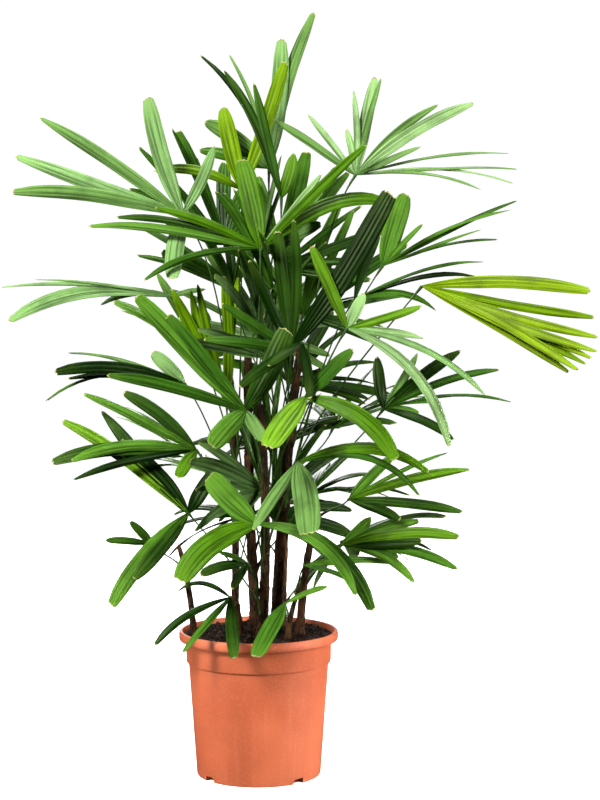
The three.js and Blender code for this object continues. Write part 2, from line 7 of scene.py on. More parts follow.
import bpy
import numpy as np
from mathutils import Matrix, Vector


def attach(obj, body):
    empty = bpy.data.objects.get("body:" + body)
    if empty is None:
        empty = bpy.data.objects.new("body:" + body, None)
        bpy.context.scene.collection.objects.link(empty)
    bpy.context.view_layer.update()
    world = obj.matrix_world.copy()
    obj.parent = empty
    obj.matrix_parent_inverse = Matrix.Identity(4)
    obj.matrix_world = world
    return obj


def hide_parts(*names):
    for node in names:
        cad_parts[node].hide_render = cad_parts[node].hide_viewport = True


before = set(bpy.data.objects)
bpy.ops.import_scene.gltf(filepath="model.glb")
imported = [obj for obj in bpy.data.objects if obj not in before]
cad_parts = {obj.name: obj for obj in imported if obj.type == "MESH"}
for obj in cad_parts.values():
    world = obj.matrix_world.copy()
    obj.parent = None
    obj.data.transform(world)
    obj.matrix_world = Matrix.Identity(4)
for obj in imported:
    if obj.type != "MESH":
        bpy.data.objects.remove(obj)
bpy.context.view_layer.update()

# -------- the studio
# A wide sheet of bright white paper before a white wall. A big soft lamp stands in front on the
# left, weaker ones on the right, overhead and behind, and two narrow ones light the pot from
# low down. The camera stands off at the height of the crown.
CAMERA_PLACE = (0.0624, -2.8, 0.731)
CAMERA_LOOKS_DOWN = 3.4
CAMERA_LENS = 84.24
PAPER_WIDE = 24
PAPER_WHITE = (0.97, 0.97, 0.97, 1)
PAPER_GLOW = 1.0
LIGHT_WHITE = (1, 1, 1, 1)
WALL_WHITE = 1.04
ROOM_DIM = 0.015


class Value:
    """A shader value on which +, - and * add Math nodes."""

    def __init__(self, finish, socket):
        self.finish, self.socket = finish, socket

    def worked(self, operation, *pair):
        settings = {"operation": operation}
        node = self.finish.node("ShaderNodeMath", settings, dict(enumerate(pair)))
        return Value(self.finish, node.outputs[0])

    def __add__(self, other):
        return self.worked("ADD", self, other)

    def __sub__(self, other):
        return self.worked("SUBTRACT", self, other)

    def __rsub__(self, other):
        return self.worked("SUBTRACT", other, self)

    def __mul__(self, other):
        return self.worked("MULTIPLY", self, other)

    __radd__ = __add__
    __rmul__ = __mul__

    def clamped(self, low, high):
        """0 below low, 1 above high, and smooth between."""
        settings = {"interpolation_type": "SMOOTHSTEP"}
        sockets = {"Value": self, "From Min": low, "From Max": high}
        node = self.finish.node("ShaderNodeMapRange", settings, sockets)
        return Value(self.finish, node.outputs[0])


class Finish:
    """A material, or the light of the room, as the nodes that make it."""

    def __init__(self, name, kind="materials"):
        self.made = getattr(bpy.data, kind).new(name)
        self.made.use_nodes = True
        self.tree = self.made.node_tree
        self.tree.nodes.clear()

    def node(self, kind, settings=None, sockets=None):
        """Adds a node: its settings first, then a value or a link for each socket."""
        node = self.tree.nodes.new(kind)
        for key, setting in (settings or {}).items():
            setattr(node, key, setting)
        for key, given in (sockets or {}).items():
            given = given.socket if isinstance(given, Value) else given
            if isinstance(given, bpy.types.NodeSocket):
                self.tree.links.new(given, node.inputs[key])
            else:
                node.inputs[key].default_value = given
        return node

    def place(self):
        return self.node("ShaderNodeTexCoord").outputs["Object"]

    def part_of(self, place, axis):
        return Value(self, self.node("ShaderNodeSeparateXYZ", {}, {0: place}).outputs[axis])

    def stretched(self, place, scale):
        return self.node("ShaderNodeMapping", {}, {"Vector": place, "Scale": scale}).outputs[0]

    def noise(self, scale, detail, place=None):
        sockets = {"Vector": place or self.place(), "Scale": scale, "Detail": detail}
        return Value(self, self.node("ShaderNodeTexNoise", {}, sockets).outputs[0])

    def coated(self, colour, *coats):
        """A colour under coats of others, each with the share from 0 to 1 that it covers."""
        for share, coat in coats:
            sockets = {0: share, 6: colour, 7: coat}
            colour = self.node("ShaderNodeMix", {"data_type": "RGBA"}, sockets).outputs[2]
        return colour

    def bumped(self, height, distance, strength):
        sockets = {"Height": height, "Distance": distance, "Strength": strength}
        return self.node("ShaderNodeBump", {}, sockets).outputs[0]

    def closed(self, sockets):
        """Ends the material in one Principled shader and gives it back."""
        shader = self.node("ShaderNodeBsdfPrincipled", {}, sockets)
        self.node("ShaderNodeOutputMaterial", {}, {"Surface": shader.outputs[0]})
        return self.made


def let_go():
    """Leaves edit mode, with nothing selected."""
    if bpy.context.object and bpy.context.object.mode != "OBJECT":
        bpy.ops.object.mode_set(mode="OBJECT")
    bpy.ops.object.select_all(action="DESELECT")


let_go()
bpy.ops.mesh.primitive_plane_add(size=PAPER_WIDE)
paper = bpy.context.object
paper.name = "paper"
white = Finish("white_paper")
paper.data.materials.append(white.closed({
    "Base Color": PAPER_WHITE,
    "Roughness": 1.0,
    "Emission Color": LIGHT_WHITE,
    "Emission Strength": PAPER_GLOW,
}))
paper.visible_diffuse = False
paper.visible_glossy = False

# The wall is bright for the camera alone, and lights the plant with a small share of that.
room = Finish("room", "worlds")
dim, wall = (
    room.node("ShaderNodeBackground", {}, {"Color": LIGHT_WHITE, "Strength": strength}).outputs[0]
    for strength in (ROOM_DIM, WALL_WHITE)
)
seen = room.node("ShaderNodeLightPath").outputs["Is Camera Ray"]
either = room.node("ShaderNodeMixShader", {}, {0: seen, 1: dim, 2: wall}).outputs[0]
room.node("ShaderNodeOutputWorld", {}, {"Surface": either})
bpy.context.scene.world = room.made
bpy.context.scene.view_settings.view_transform = "Standard"


def soft_lamp(name, place, aim_high, wide, watts, beam=180):
    """A round lamp, aimed at a height on the plant's middle line."""
    way = Vector((0, 0, aim_high)) - Vector(place)
    bpy.ops.object.light_add(type="AREA", location=place)
    lamp = bpy.context.object
    lamp.name = name
    lamp.rotation_euler = way.to_track_quat("-Z", "Y").to_euler()
    lamp.data.shape = "DISK"
    lamp.data.size = wide
    lamp.data.energy = watts
    lamp.data.spread = radians(beam)


soft_lamp("lamp_front_left", (-1.5, -2.1, 2.3), 0.55, 0.9, 156)
soft_lamp("lamp_right", (2.3, -0.9, 1.3), 0.5, 0.9, 38)
soft_lamp("lamp_overhead", (0.1, 0.4, 2.9), 0.6, 1.0, 38)
soft_lamp("lamp_behind", (-0.5, 2.9, 1.5), 0.55, 1.4, 55)
soft_lamp("lamp_low_left", (-2.5, -0.9, 0.35), 0.06, 0.8, 0.92, beam=20)
soft_lamp("lamp_low_right", (2.6, -0.7, 0.35), 0.06, 0.8, 2.1, beam=20)

bpy.ops.object.camera_add(
    location=CAMERA_PLACE, rotation=(radians(90 - CAMERA_LOOKS_DOWN), 0, 0)
)
bpy.context.scene.camera = bpy.context.object
bpy.context.scene.camera.data.lens = CAMERA_LENS

# -------- the pot
# A nursery pot, injection moulded in terracotta-coloured plastic in one piece: a thin wall
# with a rolled rim, a collar below it, and four notches round the foot that let water out.
MM = 0.001
# Each ring is a radius and a height, from the middle of the base up the outside and back in.
POT_RINGS = (
    (87, 0), (91.4, 0), (92.9, 0.5), (93.6, 2.2), (105.4, 168.6), (105.7, 170.4), (108.3, 171.2),
    (109, 172.8), (109.5, 201.6), (110.1, 203), (117.6, 203.8), (119.2, 204.8), (119.9, 207),
    (120, 213.4), (119.5, 216), (118.2, 217.6), (116.4, 218), (114.8, 217.5), (113.9, 216),
    (113.2, 212), (108.3, 200.5), (106.6, 174.4), (103.1, 169.4), (91.7, 11), (60, 11),
)
POT_SIDES = 160
NOTCH_ANGLES = (-50, 40, 130, 220)
NOTCH_WIDE, NOTCH_HIGH, NOTCH_DEEP, NOTCH_AT = 18, 8, 11, 94.5
NOTCH_ROUND, EDGE_ROUND = 1.2, 0.4
SCUFFS_FROM, SCUFFS_TO = 204, 217
POT_ORANGE = (0.69, 0.166, 0.068, 1)
POT_LIGHT = (0.78, 0.225, 0.106, 1)
POT_DEEP = (0.56, 0.120, 0.047, 1)
POT_SCUFFED = (0.86, 0.42, 0.28, 1)


def turned(name, rings, sides, insets=0, inset=0):
    """A round body, drawn up ring by ring from a disc. Its last ring is its cap, and insets
    cut that into rings of faces."""
    let_go()
    radius, height = rings[0]
    bpy.ops.mesh.primitive_circle_add(
        vertices=sides, radius=radius * MM, fill_type="NGON", location=(0, 0, height * MM)
    )
    body = bpy.context.object
    body.name = name
    bpy.ops.object.transform_apply(location=True)
    bpy.ops.object.mode_set(mode="EDIT")
    for wide, high in rings[1:]:
        rise = {"value": (0, 0, (high - height) * MM)}
        bpy.ops.mesh.extrude_region_move(TRANSFORM_OT_translate=rise)
        share = wide / radius
        bpy.ops.transform.resize(value=(share, share, 1), center_override=(0, 0, high * MM))
        radius, height = wide, high
    for _ in range(insets):
        bpy.ops.mesh.inset(thickness=inset * MM)
    bpy.ops.mesh.select_all(action="SELECT")
    bpy.ops.mesh.normals_make_consistent(inside=False)
    let_go()
    return body


def finish_with(piece, kind, **settings):
    """Puts one modifier on a piece and applies it."""
    bpy.context.view_layer.objects.active = piece
    modifier = piece.modifiers.new(kind.lower(), kind)
    for key, setting in settings.items():
        setattr(modifier, key, setting)
    bpy.ops.object.modifier_apply(modifier=modifier.name)


def smoothed(piece, angle):
    let_go()
    piece.select_set(True)
    bpy.context.view_layer.objects.active = piece
    bpy.ops.object.shade_smooth_by_angle(angle=radians(angle))
    let_go()


pot = turned("nursery_pot", POT_RINGS, POT_SIDES)
for angle in NOTCH_ANGLES:
    around = radians(angle - 90)
    bpy.ops.mesh.primitive_cube_add(
        size=1,
        location=(NOTCH_AT * MM * cos(around), NOTCH_AT * MM * sin(around), 0),
        rotation=(0, 0, around),
        scale=(NOTCH_DEEP * 2 * MM, NOTCH_WIDE * MM, NOTCH_HIGH * 2 * MM),
    )
    cutter = bpy.context.object
    bpy.ops.object.mode_set(mode="EDIT")
    bpy.ops.mesh.bevel(offset=NOTCH_ROUND * MM, segments=2)
    let_go()
    finish_with(pot, "BOOLEAN", operation="DIFFERENCE", object=cutter, solver="EXACT")
    bpy.data.objects.remove(cutter)
finish_with(
    pot, "BEVEL", width=EDGE_ROUND * MM, segments=2, limit_method="ANGLE",
    angle_limit=radians(50),
)
smoothed(pot, 40)

plastic = Finish("moulded_plastic")
place = plastic.place()
cloudy = plastic.noise(9, 4)
speckled = plastic.noise(420, 2)
drawn = plastic.noise(1, 3, plastic.stretched(place, (70, 70, 5)))
at_rim = plastic.part_of(place, "Z").clamped(SCUFFS_FROM * MM, SCUFFS_TO * MM)
scuffed = plastic.noise(60, 6).clamped(0.6, 0.74) * at_rim
pot.data.materials.append(plastic.closed({
    "Base Color": plastic.coated(
        POT_DEEP,
        (cloudy.clamped(0.35, 0.68), POT_ORANGE),
        (speckled.clamped(0.5, 0.72) * 0.4, POT_LIGHT),
        (drawn.clamped(0.55, 0.75) * 0.22, POT_LIGHT),
        (scuffed * 0.5, POT_SCUFFED),
    ),
    "Roughness": 0.44 + cloudy * 0.2,
    "Normal": plastic.bumped(speckled * 0.6 + cloudy * 0.4, 0.0003, 0.35),
    "Specular IOR Level": 0.4,
}))
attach(pot, "root")
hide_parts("pot")

# -------- the soil
# Dark potting compost that fills the pot to a finger's width below its rim: peat and bark
# with a crumbly, uneven top, loose crumbs strewn over it and a few pale bits of bark.
SOIL_LEVEL = 212
SOIL_RINGS = (
    (91, 11.4), (102.6, 170), (106.2, 175), (107.9, 200), (111.6, 210.6), (109.6, 212.2),
)
SOIL_SIDES = 150
SOIL_INSETS, SOIL_INSET = 53, 2.0
SOIL_ROUGH, SOIL_SUNK = 2.6, 0.6
SOIL_WIDE = 109.6
# Each wave of the soil's top has a length, the way it runs and a height.
SOIL_WAVES = ((95, 0.4, 0.9), (41, 1.9, 0.6), (17.3, 3.1, 0.5), (9.1, 4.4, 0.42), (5.3, 5.3, 0.36))
CRUMBS, CRUMB_SEED, CRUMB_EDGE = 1900, 41, 1.6
CRUMB_SIZES, CRUMBS_SMALL = (0.9, 3.4), 2.6
CRUMB_SQUASH, CRUMB_DENTS, CRUMB_RAISED = (0.55, 1.25), (0.7, 1.15), 0.35
BARK_SHARE = 0.13
SOIL_BROWN = (0.020, 0.010, 0.005, 1)
SOIL_BLACK = (0.008, 0.005, 0.003, 1)
SOIL_TAN = (0.135, 0.066, 0.026, 1)
BARK_DARK = (0.07, 0.035, 0.017, 1)


def between(low, high, share):
    return (1 - share) * low + share * high


def spun(angles, axis):
    """A rotation matrix about one axis for each angle."""
    turns = np.zeros((len(angles), 3, 3))
    i, j = (axis + 1) % 3, (axis + 2) % 3
    turns[:, axis, axis] = 1
    turns[:, i, i] = turns[:, j, j] = np.cos(angles)
    turns[:, i, j], turns[:, j, i] = -np.sin(angles), np.sin(angles)
    return turns


def made_from(name, points, faces):
    """A new piece of points in millimetres and a list of faces."""
    mesh = bpy.data.meshes.new(name)
    mesh.from_pydata((points * MM).tolist(), [], faces)
    piece = bpy.data.objects.new(name, mesh)
    bpy.context.scene.collection.objects.link(piece)
    return piece


def soil_height(x, y):
    """How high the soil stands over its level at a place: sums of waves that fade at the wall."""
    high = 0
    for wave, (across, turn, share) in enumerate(SOIL_WAVES):
        way = x * cos(turn) + y * sin(turn)
        cross = y * cos(turn) - x * sin(turn)
        swirl = 1.7 * np.sin(cross / across * 4.1 + wave)
        high = high + share * np.sin(way / across * 6.2 + swirl) * np.cos(cross / across * 5.3)
    return SOIL_ROUGH * high * (1 - (np.hypot(x, y) / SOIL_WIDE) ** 8) - SOIL_SUNK


soil = turned("soil", SOIL_RINGS, SOIL_SIDES, SOIL_INSETS, SOIL_INSET)
ground = np.empty(len(soil.data.vertices) * 3)
soil.data.vertices.foreach_get("co", ground)
x, y, z = ground.reshape(-1, 3).T
z += np.where(z > (SOIL_LEVEL - 0.1) * MM, soil_height(x / MM, y / MM) * MM, 0)
soil.data.vertices.foreach_set("co", ground)
smoothed(soil, 60)

bpy.ops.mesh.primitive_ico_sphere_add(subdivisions=1, radius=1)
pebble = bpy.context.object
lump = np.array([tuple(v.co) for v in pebble.data.vertices])
lump_faces = np.array([tuple(f.vertices) for f in pebble.data.polygons])
bpy.data.objects.remove(pebble)

dice = np.random.default_rng(CRUMB_SEED)
about = dice.uniform(0, 2 * pi, CRUMBS)
out = (SOIL_WIDE - CRUMB_EDGE) * np.sqrt(dice.uniform(0, 1, CRUMBS))
sizes = between(*CRUMB_SIZES, dice.uniform(0, 1, CRUMBS) ** CRUMBS_SMALL)
squash = dice.uniform(*CRUMB_SQUASH, (CRUMBS, 1, 3))
dents = dice.uniform(*CRUMB_DENTS, (CRUMBS, len(lump), 1))
rolls = dice.uniform(0, 1, (CRUMBS, 3)).T * 2 * pi
turns = spun(rolls[0], 2) @ spun(rolls[1], 0) @ spun(rolls[2], 1)
shapes = (lump * squash * dents * sizes[:, None, None]) @ turns.transpose(0, 2, 1)
x, y = out * np.cos(about), out * np.sin(about)
z = SOIL_LEVEL + soil_height(x, y) + sizes * CRUMB_RAISED
shapes += np.stack([x, y, z], 1)[:, None]
faces = lump_faces + (np.arange(CRUMBS) * len(lump))[:, None, None]
crumbs = made_from("soil_crumbs", shapes.reshape(-1, 3), faces.reshape(-1, 3).tolist())

compost = Finish("potting_compost")
lumpy = compost.noise(160, 5)
fine = compost.noise(900, 3)
earth = compost.closed({
    "Base Color": compost.coated(
        SOIL_BLACK,
        (lumpy.clamped(0.38, 0.66), SOIL_BROWN),
        (fine.clamped(0.60, 0.74) * 0.8, SOIL_TAN),
    ),
    "Roughness": 0.95,
    "Normal": compost.bumped(lumpy + fine * 0.5, 0.0012, 0.8),
    "Specular IOR Level": 0.2,
})
bark = Finish("bark_bits")
colour = bark.coated(BARK_DARK, (bark.noise(300, 3).clamped(0.4, 0.65), SOIL_TAN))
chips = bark.closed({"Base Color": colour, "Roughness": 0.9})
soil.data.materials.append(earth)
crumbs.data.materials.append(earth)
crumbs.data.materials.append(chips)
pale = np.repeat(dice.uniform(0, 1, CRUMBS) < BARK_SHARE, len(lump_faces)).astype(np.int32)
crumbs.data.polygons.foreach_set("material_index", pale)
for piece in (soil, crumbs):
    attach(piece, "root")
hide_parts("root_ball")

# -------- the canes
# Thin bamboo-like stems, each wrapped in the dead, dark brown fibre of its old leaf bases: a
# coarse criss-cross weave in overlapping collars, frayed at their upper edges, with reddish
# patches where it has worn. Each stands on the soil and ends in a frayed tip.
# Foot, top and bow are places in millimetres, and the last number is the radius.
CANES = {
    name: SimpleNamespace(foot=foot, top=top, bow=bow, radius=radius)
    for name, foot, top, bow, radius in (
        ("stem_centre", (-4, 12), (-16, 20, 640), (-4, 6), 8.2),
        ("stem_front", (6, -26), (4, -36, 560), (6, -4), 7.8),
        ("stem_right", (26, 6), (64, 0, 650), (-6, 2), 8.4),
        ("stem_right_low", (62, -10), (88, -18, 405), (-4, 0), 6.5),
        ("stem_left_low", (-98, -6), (-120, -2, 345), (4, 0), 5),
        ("stem_behind", (-38, 52), (-44, 70, 600), (4, -4), 6),
        ("stem_back", (34, 60), (58, 104, 620), (-4, -8), 6.8),
        ("shoot", (44, -42), (62, -56, 290), (-3, 2), 4.5),
        ("stump", (-30, -16), (-34, -20, 262), (0, 0), 8.5),
    )
}
CANE_GAP = 0.3
CANE_TAPER = 0.28
FLARE, FLARE_FADES = 0.35, 22
BLUNT_FROM, BLUNT = 0.94, 0.75
CANE_SIDES = 40
RING_EVERY = 1.8
COLLAR_EVERY, COLLAR_SLOPE = 34, 11
WEAVE_PITCH, WEAVE_STRANDS = 15, 7
COLLAR_PROUD, WEAVE_PROUD, STRAND_PROUD, CLAD_SUNK = 1.5, 0.42, 0.16, 0.7
FIBRE_SEED, FIBRES_EACH, FIBRES_FOR = 7, 90, 450
FIBRE_THICK, FIBRE_SPANS = 0.32, 3
FIBRE_LENGTHS = (5, 15)
STOUT_CANE = 9
TIP_FROM = 0.93
CANE_DARK = (0.009, 0.006, 0.0035, 1)
CANE_BROWN = (0.052, 0.026, 0.011, 1)
CANE_RED = (0.125, 0.050, 0.020, 1)
CANE_STRAW = (0.25, 0.155, 0.072, 1)
EAST, NORTH, UP = np.eye(3)


def chance(a, b):
    """A repeatable number from 0 to 1 for the pair a, b."""
    value = sin(a * 12.9898 + b * 78.233) * 43758.5453
    return value - floor(value)


def unit(way):
    return way / np.sqrt((way * way).sum(-1, keepdims=True))


def cane_line(cane, t):
    """The places t, from 0 at the soil to 1 at the tip, on a cane's middle line."""
    t = np.asarray(t, float)[..., None]
    foot = np.array((*cane.foot, SOIL_LEVEL + CANE_GAP), float)
    top = np.array(cane.top, float)
    middle = (foot + top) / 2 + 2 * np.array((*cane.bow, 0.0))
    return (1 - t) ** 2 * foot + 2 * t * (1 - t) * middle + t * t * top


def cane_taper(t):
    """Thick at the root flare, tapering up the cane."""
    return 1 - CANE_TAPER * t + FLARE * np.exp(-FLARE_FADES * t)


def cane_radius(cane, t):
    return cane.radius * cane_taper(t) * np.where(t > BLUNT_FROM, BLUNT, 1.0)


def joined(one, other):
    """Four-sided faces between two rows of corners."""
    faces = np.stack([one[..., :-1], one[..., 1:], other[..., 1:], other[..., :-1]], -1)
    return faces.reshape(-1, 4)


def tube(line, side, other, radii, end):
    """The points and faces of rings round a line, drawn in to a point at its foot and end."""
    around = np.linspace(0, 2 * pi, radii.shape[1], endpoint=False)[:, None]
    rings = line[:, None] + (side * np.cos(around) + other * np.sin(around)) * radii[..., None]
    grid = np.arange(radii.size).reshape(radii.shape)
    grid = np.hstack([grid, grid[:, :1]])
    foot = [(b, a, radii.size) for a, b in pairwise(grid[0].tolist())]
    cap = [(a, b, radii.size + 1) for a, b in pairwise(grid[-1].tolist())]
    points = np.vstack([rings.reshape(-1, 3), line[0], end])
    return points, joined(grid[:-1], grid[1:]).tolist() + foot + cap


def clad_cane(name, cane, slim, order):
    """The tube of woven fibre: rings of points whose radius follows collars and threads."""
    tall = cane.top[2] - SOIL_LEVEL
    t = np.linspace(0, 1, int(tall / RING_EVERY) + 1)[:, None]
    around = np.linspace(0, 2 * pi, CANE_SIDES, endpoint=False)
    high = t * tall
    wander = 7 * np.sin(around + order) + 3 * np.sin(3 * around + 2.1 * order)
    collar = (high + wander + COLLAR_SLOPE * order) / COLLAR_EVERY
    up_collar = collar - np.floor(collar)
    slack = 0.65 + 0.35 * np.sin(np.floor(collar) * 2.7 + order)
    bulge = up_collar**1.6 * slack * np.clip((1 - up_collar) * 14, 0, 1)
    turn = high / WEAVE_PITCH * 2 * pi
    right = np.clip(np.sin(WEAVE_STRANDS * around + turn + order), 0, 1) ** 2
    left = np.clip(np.sin(WEAVE_STRANDS * around - turn * 0.86 + 2 * order), 0, 1) ** 2
    coarse = np.sin(17 * around + 1.5 * np.sin(high / 21))
    strands = coarse + 0.6 * np.sin(11 * around + high / 9 + order)
    relief = COLLAR_PROUD * bulge + WEAVE_PROUD * np.maximum(right, left) + STRAND_PROUD * strands
    drawn_in = 0.3 * np.clip((t - 0.95) / 0.05, 0, 1) ** 2
    radius = cane.radius * (cane_taper(t) - drawn_in) + (relief - CLAD_SUNK) * slim
    line = cane_line(cane, t[:, 0])
    return made_from(name, *tube(line, EAST, NORTH, radius, line[-1] + UP * cane.radius / 2))


def threads(roots, ways, sides, lengths, curl):
    """Many tapering three-sided hairs as one mesh: each leaves its root and curls over."""
    t = np.linspace(0, 1, FIBRE_SPANS + 1)
    lines = (
        roots[:, None]
        + ways[:, None] * (t * lengths[:, None])[..., None]
        + curl[:, None] * (t**2 * lengths[:, None])[..., None]
    )
    other = np.cross(ways, sides)
    corners = 2 * pi * np.arange(3)[:, None] / 3
    ring = sides[:, None, None] * np.cos(corners) + other[:, None, None] * np.sin(corners)
    slim = (FIBRE_THICK * (1 - 0.85 * t))[:, None, None]
    points = (lines[:, :, None] + ring * slim).reshape(-1, 3)
    one = []
    for span, side in product(range(FIBRE_SPANS), range(3)):
        a, b = span * 3 + side, span * 3 + (side + 1) % 3
        one += [(a, b, b + 3), (a, b + 3, a + 3)]
    last = FIBRE_SPANS * 3
    one += [(2, 1, 0), (last, last + 1, last + 2)]
    faces = np.array(one) + (np.arange(len(roots)) * (last + 3))[:, None, None]
    return points, faces.reshape(-1, 3)


fibre = Finish("woven_fibre")
tall_grain = fibre.noise(520, 4, fibre.stretched(fibre.place(), (1, 1, 0.16)))
patch = fibre.noise(24, 3)
knots = fibre.noise(190, 4)
clad = fibre.closed({
    "Base Color": fibre.coated(
        CANE_DARK,
        (tall_grain.clamped(0.36, 0.66), CANE_BROWN),
        (patch.clamped(0.5, 0.66) * 0.75, CANE_RED),
        (knots.clamped(0.62, 0.76) * 0.55, CANE_STRAW),
    ),
    "Roughness": 0.78 + patch * 0.15,
    "Normal": fibre.bumped(tall_grain + knots * 0.7, 0.0016, 0.9),
    "Specular IOR Level": 0.1,
})
loose = Finish("loose_fibre")
colour = loose.coated(CANE_BROWN, (loose.noise(90, 2).clamped(0.4, 0.65), CANE_RED))
frayed = loose.closed({"Base Color": colour, "Roughness": 0.9})

dice = np.random.default_rng(FIBRE_SEED)
hairs, hair_faces, hair_count = [], [], 0
for order, (name, cane) in enumerate(CANES.items()):
    slim = np.clip(cane.radius / STOUT_CANE, 0.5, 1)
    piece = clad_cane("cane_" + name, cane, slim, order + 1)
    piece.data.materials.append(clad)
    smoothed(piece, 50)
    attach(piece, "root")
    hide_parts(name)
    # Frayed fibres stand out all the way up, and thickest at the tip.
    number = int(FIBRES_EACH * (0.25 + 0.75 * (cane.top[2] - SOIL_LEVEL) / FIBRES_FOR))
    t = np.concatenate([
        dice.uniform(0.04, 0.97, number), dice.uniform(TIP_FROM, 1.0, number // 3)
    ])
    column = (len(t), 1)
    around = dice.uniform(0, 2 * pi, len(t))
    outward = np.stack([np.cos(around), np.sin(around), np.zeros(len(t))], 1)
    roots = cane_line(cane, t) + outward * (cane_radius(cane, t) * 0.9)[:, None]
    at_tip = (t > TIP_FROM).astype(float)[:, None]
    ways = unit(outward * dice.uniform(0.2, 0.7, column) * (1 - 0.6 * at_tip)
                + UP * dice.uniform(0.6, 1.2, column))
    sides = unit(np.cross(ways, outward) + 1e-6)
    curl = outward * dice.uniform(-0.2, 0.5, column) + UP * dice.uniform(-0.5, 0.1, column)
    lengths = dice.uniform(*FIBRE_LENGTHS, len(t)) * (1 + 0.9 * at_tip[:, 0]) * slim
    points, faces = threads(roots, ways, sides, lengths, curl)
    hairs.append(points)
    hair_faces.append(faces + hair_count)
    hair_count += len(points)
fray = made_from("cane_fibres", np.vstack(hairs), np.vstack(hair_faces).tolist())
fray.data.materials.append(frayed)
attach(fray, "root")

# -------- the stalks
# Each frond hangs on a thin smooth green stalk that clasps its cane with a flat, fibrous
# foot, climbs out of it and arches over to the knuckle where the leaflets meet.
LEAF_TOSS = 6
TIER_TOSS, TIER_ROLL, TIER_SWING = 17, 22, 6
TIER_REACH, TIER_WIDTHS = (0.85, 1.15), (0.72, 1.1)
TIER_SHORTEST = 0.72
TIER_LIT_FROM = 0.7
KNUCKLE = 7
STALK_RADIUS = 2
STALK_HIGHEST = 0.92
STALK_CLEAR, STALK_FREE_FROM = 5, 9
STALK_BOWS = (0, 16, -16, 32, -32, 48, -48, 64, -64)
STALK_CLIMBS = (0, -12, 12, -24, 24, -36, -48, -60)
STALK_TURNS = (0, 25, -25, 50, -50, 80, -80)
STALK_RINGS, STALK_SIDES = 30, 8
STALK_THICK, STALK_THINS = 1.5, 0.4
CLASP_LONG, CLASP_PROUD, CLASP_FIBROUS = 40, 1.7, 0.40
KNUCKLE_LONG, KNUCKLE_PROUD = 0.045, 1.6
STALK_DEEP = (0.020, 0.055, 0.008, 1)
STALK_LIGHT = (0.050, 0.110, 0.018, 1)
ASKEW = np.array((0.31, 0.95, 0.05))
fronds = []


def grow(name, stem, start, hub, aim, tone, *fan, shades="", toss=LEAF_TOSS, finer=False):
    """One frond: its cane, the height where the stalk leaves it, the place of the knuckle, and
    the turn, rise and roll of its fan. A leaflet is its angle in the fan, its length, its width
    and how far it droops. Shades are for the leaflets in turn, where they aren't of the tone;
    they are partly painted light, a paler tone where a leaflet catches the lamps and a dark one
    where it lies in shade."""
    fronds.append(SimpleNamespace(
        name=name, stem=stem, start=start, hub=np.array(hub, float), aim=aim, tone=tone, fan=fan,
        shades=(shades or tone).split(), toss=toss, finer=finer, seed=len(fronds) + 1, leaves=[],
    ))


grow("front_bright", "stem_front", 290, (0, -135, 395), (-90, -50, 0), "fresh",
     (-71, 145, 38, 1.3), (86, 225, 22, 2), (75, 190, 20, 1.5), (-136, 100, 34, 0.15),
     shades="fresh mid mid mid")
grow("low_centre", "stem_front", 330, (60, -150, 485), (-88, -48, 0), "mid",
     (-31, 140, 17, 0.35), (5, 140, 36, 0.45), (105, 195, 22, 1), (98, 190, 13, 1.3),
     shades="pale pale fresh mid")
grow("front_centre", "stem_front", 400, (70, -185, 580), (-88, -48, 0), "fresh",
     (-33, 115, 34, 0.5), (66, 165, 30, 1.1), (139, 100, 22, 0.3), shades="fresh fresh mid")
grow("front_left", "stem_front", 330, (-15, -165, 560), (170, 30, -70), "mid",
     (-17, 225, 26, 0.15), (-22, 175, 22, 0.2), (13, 200, 17, 0.25), (77, 75, 29, 0.35),
     (155, 55, 19, 0.35), (-97, 130, 31, 0.1), shades="mid mid mid mid pale dark")
grow("front_broad", "stem_front", 430, (65, -150, 655), (-100, -60, 0), "dark",
     (-56, 115, 17, 0.5), (-58, 65, 16, 0.3), (14, 95, 15, 0.3))
grow("foot_left", "stump", 245, (-40, -80, 280), (250, -40, 0), "mid",
     (-121, 120, 9, 1.2), (-52, 135, 13, 0.9), (-24, 115, 14, 0.45), (22, 135, 19, 0.1),
     shades="dark dark mid dark")
grow("foot_front", "shoot", 235, (40, -105, 275), (250, -50, 0), "mid",
     (-11, 100, 29, 0.25), (121, 70, 9, 0.5))
grow("upper_left", "stem_centre", 400, (-110, -40, 840), (180, 0, -72), "pale",
     (-12, 250, 21, 0.28), (-23, 260, 22, 0.2), (-37, 255, 19, 0.16), (-73, 180, 26, 0.05),
     (-116, 110, 17, 0.05), (83, 110, 27, 0.05))
grow("left_arc", "stem_centre", 380, (-130, 30, 720), (182, 15, -42), "pale",
     (24, 265, 25, 0.62), (18, 260, 6, 0.2), (17, 215, 6, 0.25), (11, 115, 17, 0.9),
     (-138, 55, 12, 0.5))
grow("upper_centre", "stem_centre", 440, (5, -70, 790), (90, 58, 0), "fresh",
     (67, 165, 15, 0.3), (73, 255, 15, 0.5), (69, 215, 12, 0.3), (12, 140, 31, 0.05),
     (-37, 145, 14, 0.1), (-43, 220, 15, 0.2), (-37, 225, 25, 1), (98, 180, 11, 0.6),
     shades="fresh mid dark fresh pale fresh fresh mid")
grow("top_dark", "stem_centre", 470, (35, -30, 865), (90, 66, 0), "dark",
     (22, 250, 9, 0.7), (20, 210, 14, 0.5), (12, 175, 14, 0.35), (-15, 70, 20, 0),
     shades="dark dark mid fresh")
grow("top_pale", "stem_back", 440, (15, 70, 915), (90, 70, 0), "pale",
     (52, 120, 25, 0.3), (68, 110, 20, 0.4), (16, 190, 7, 0.4), (-5, 205, 26, 0.2),
     (-14, 260, 20, 0.2), shades="pale mid pale pale pale")
grow("upper_young", "stem_behind", 430, (-25, 20, 880), (90, 68, 0), "young",
     (67, 135, 17, 0.6), (13, 130, 26, 0.05), (-15, 210, 22, 0.5))
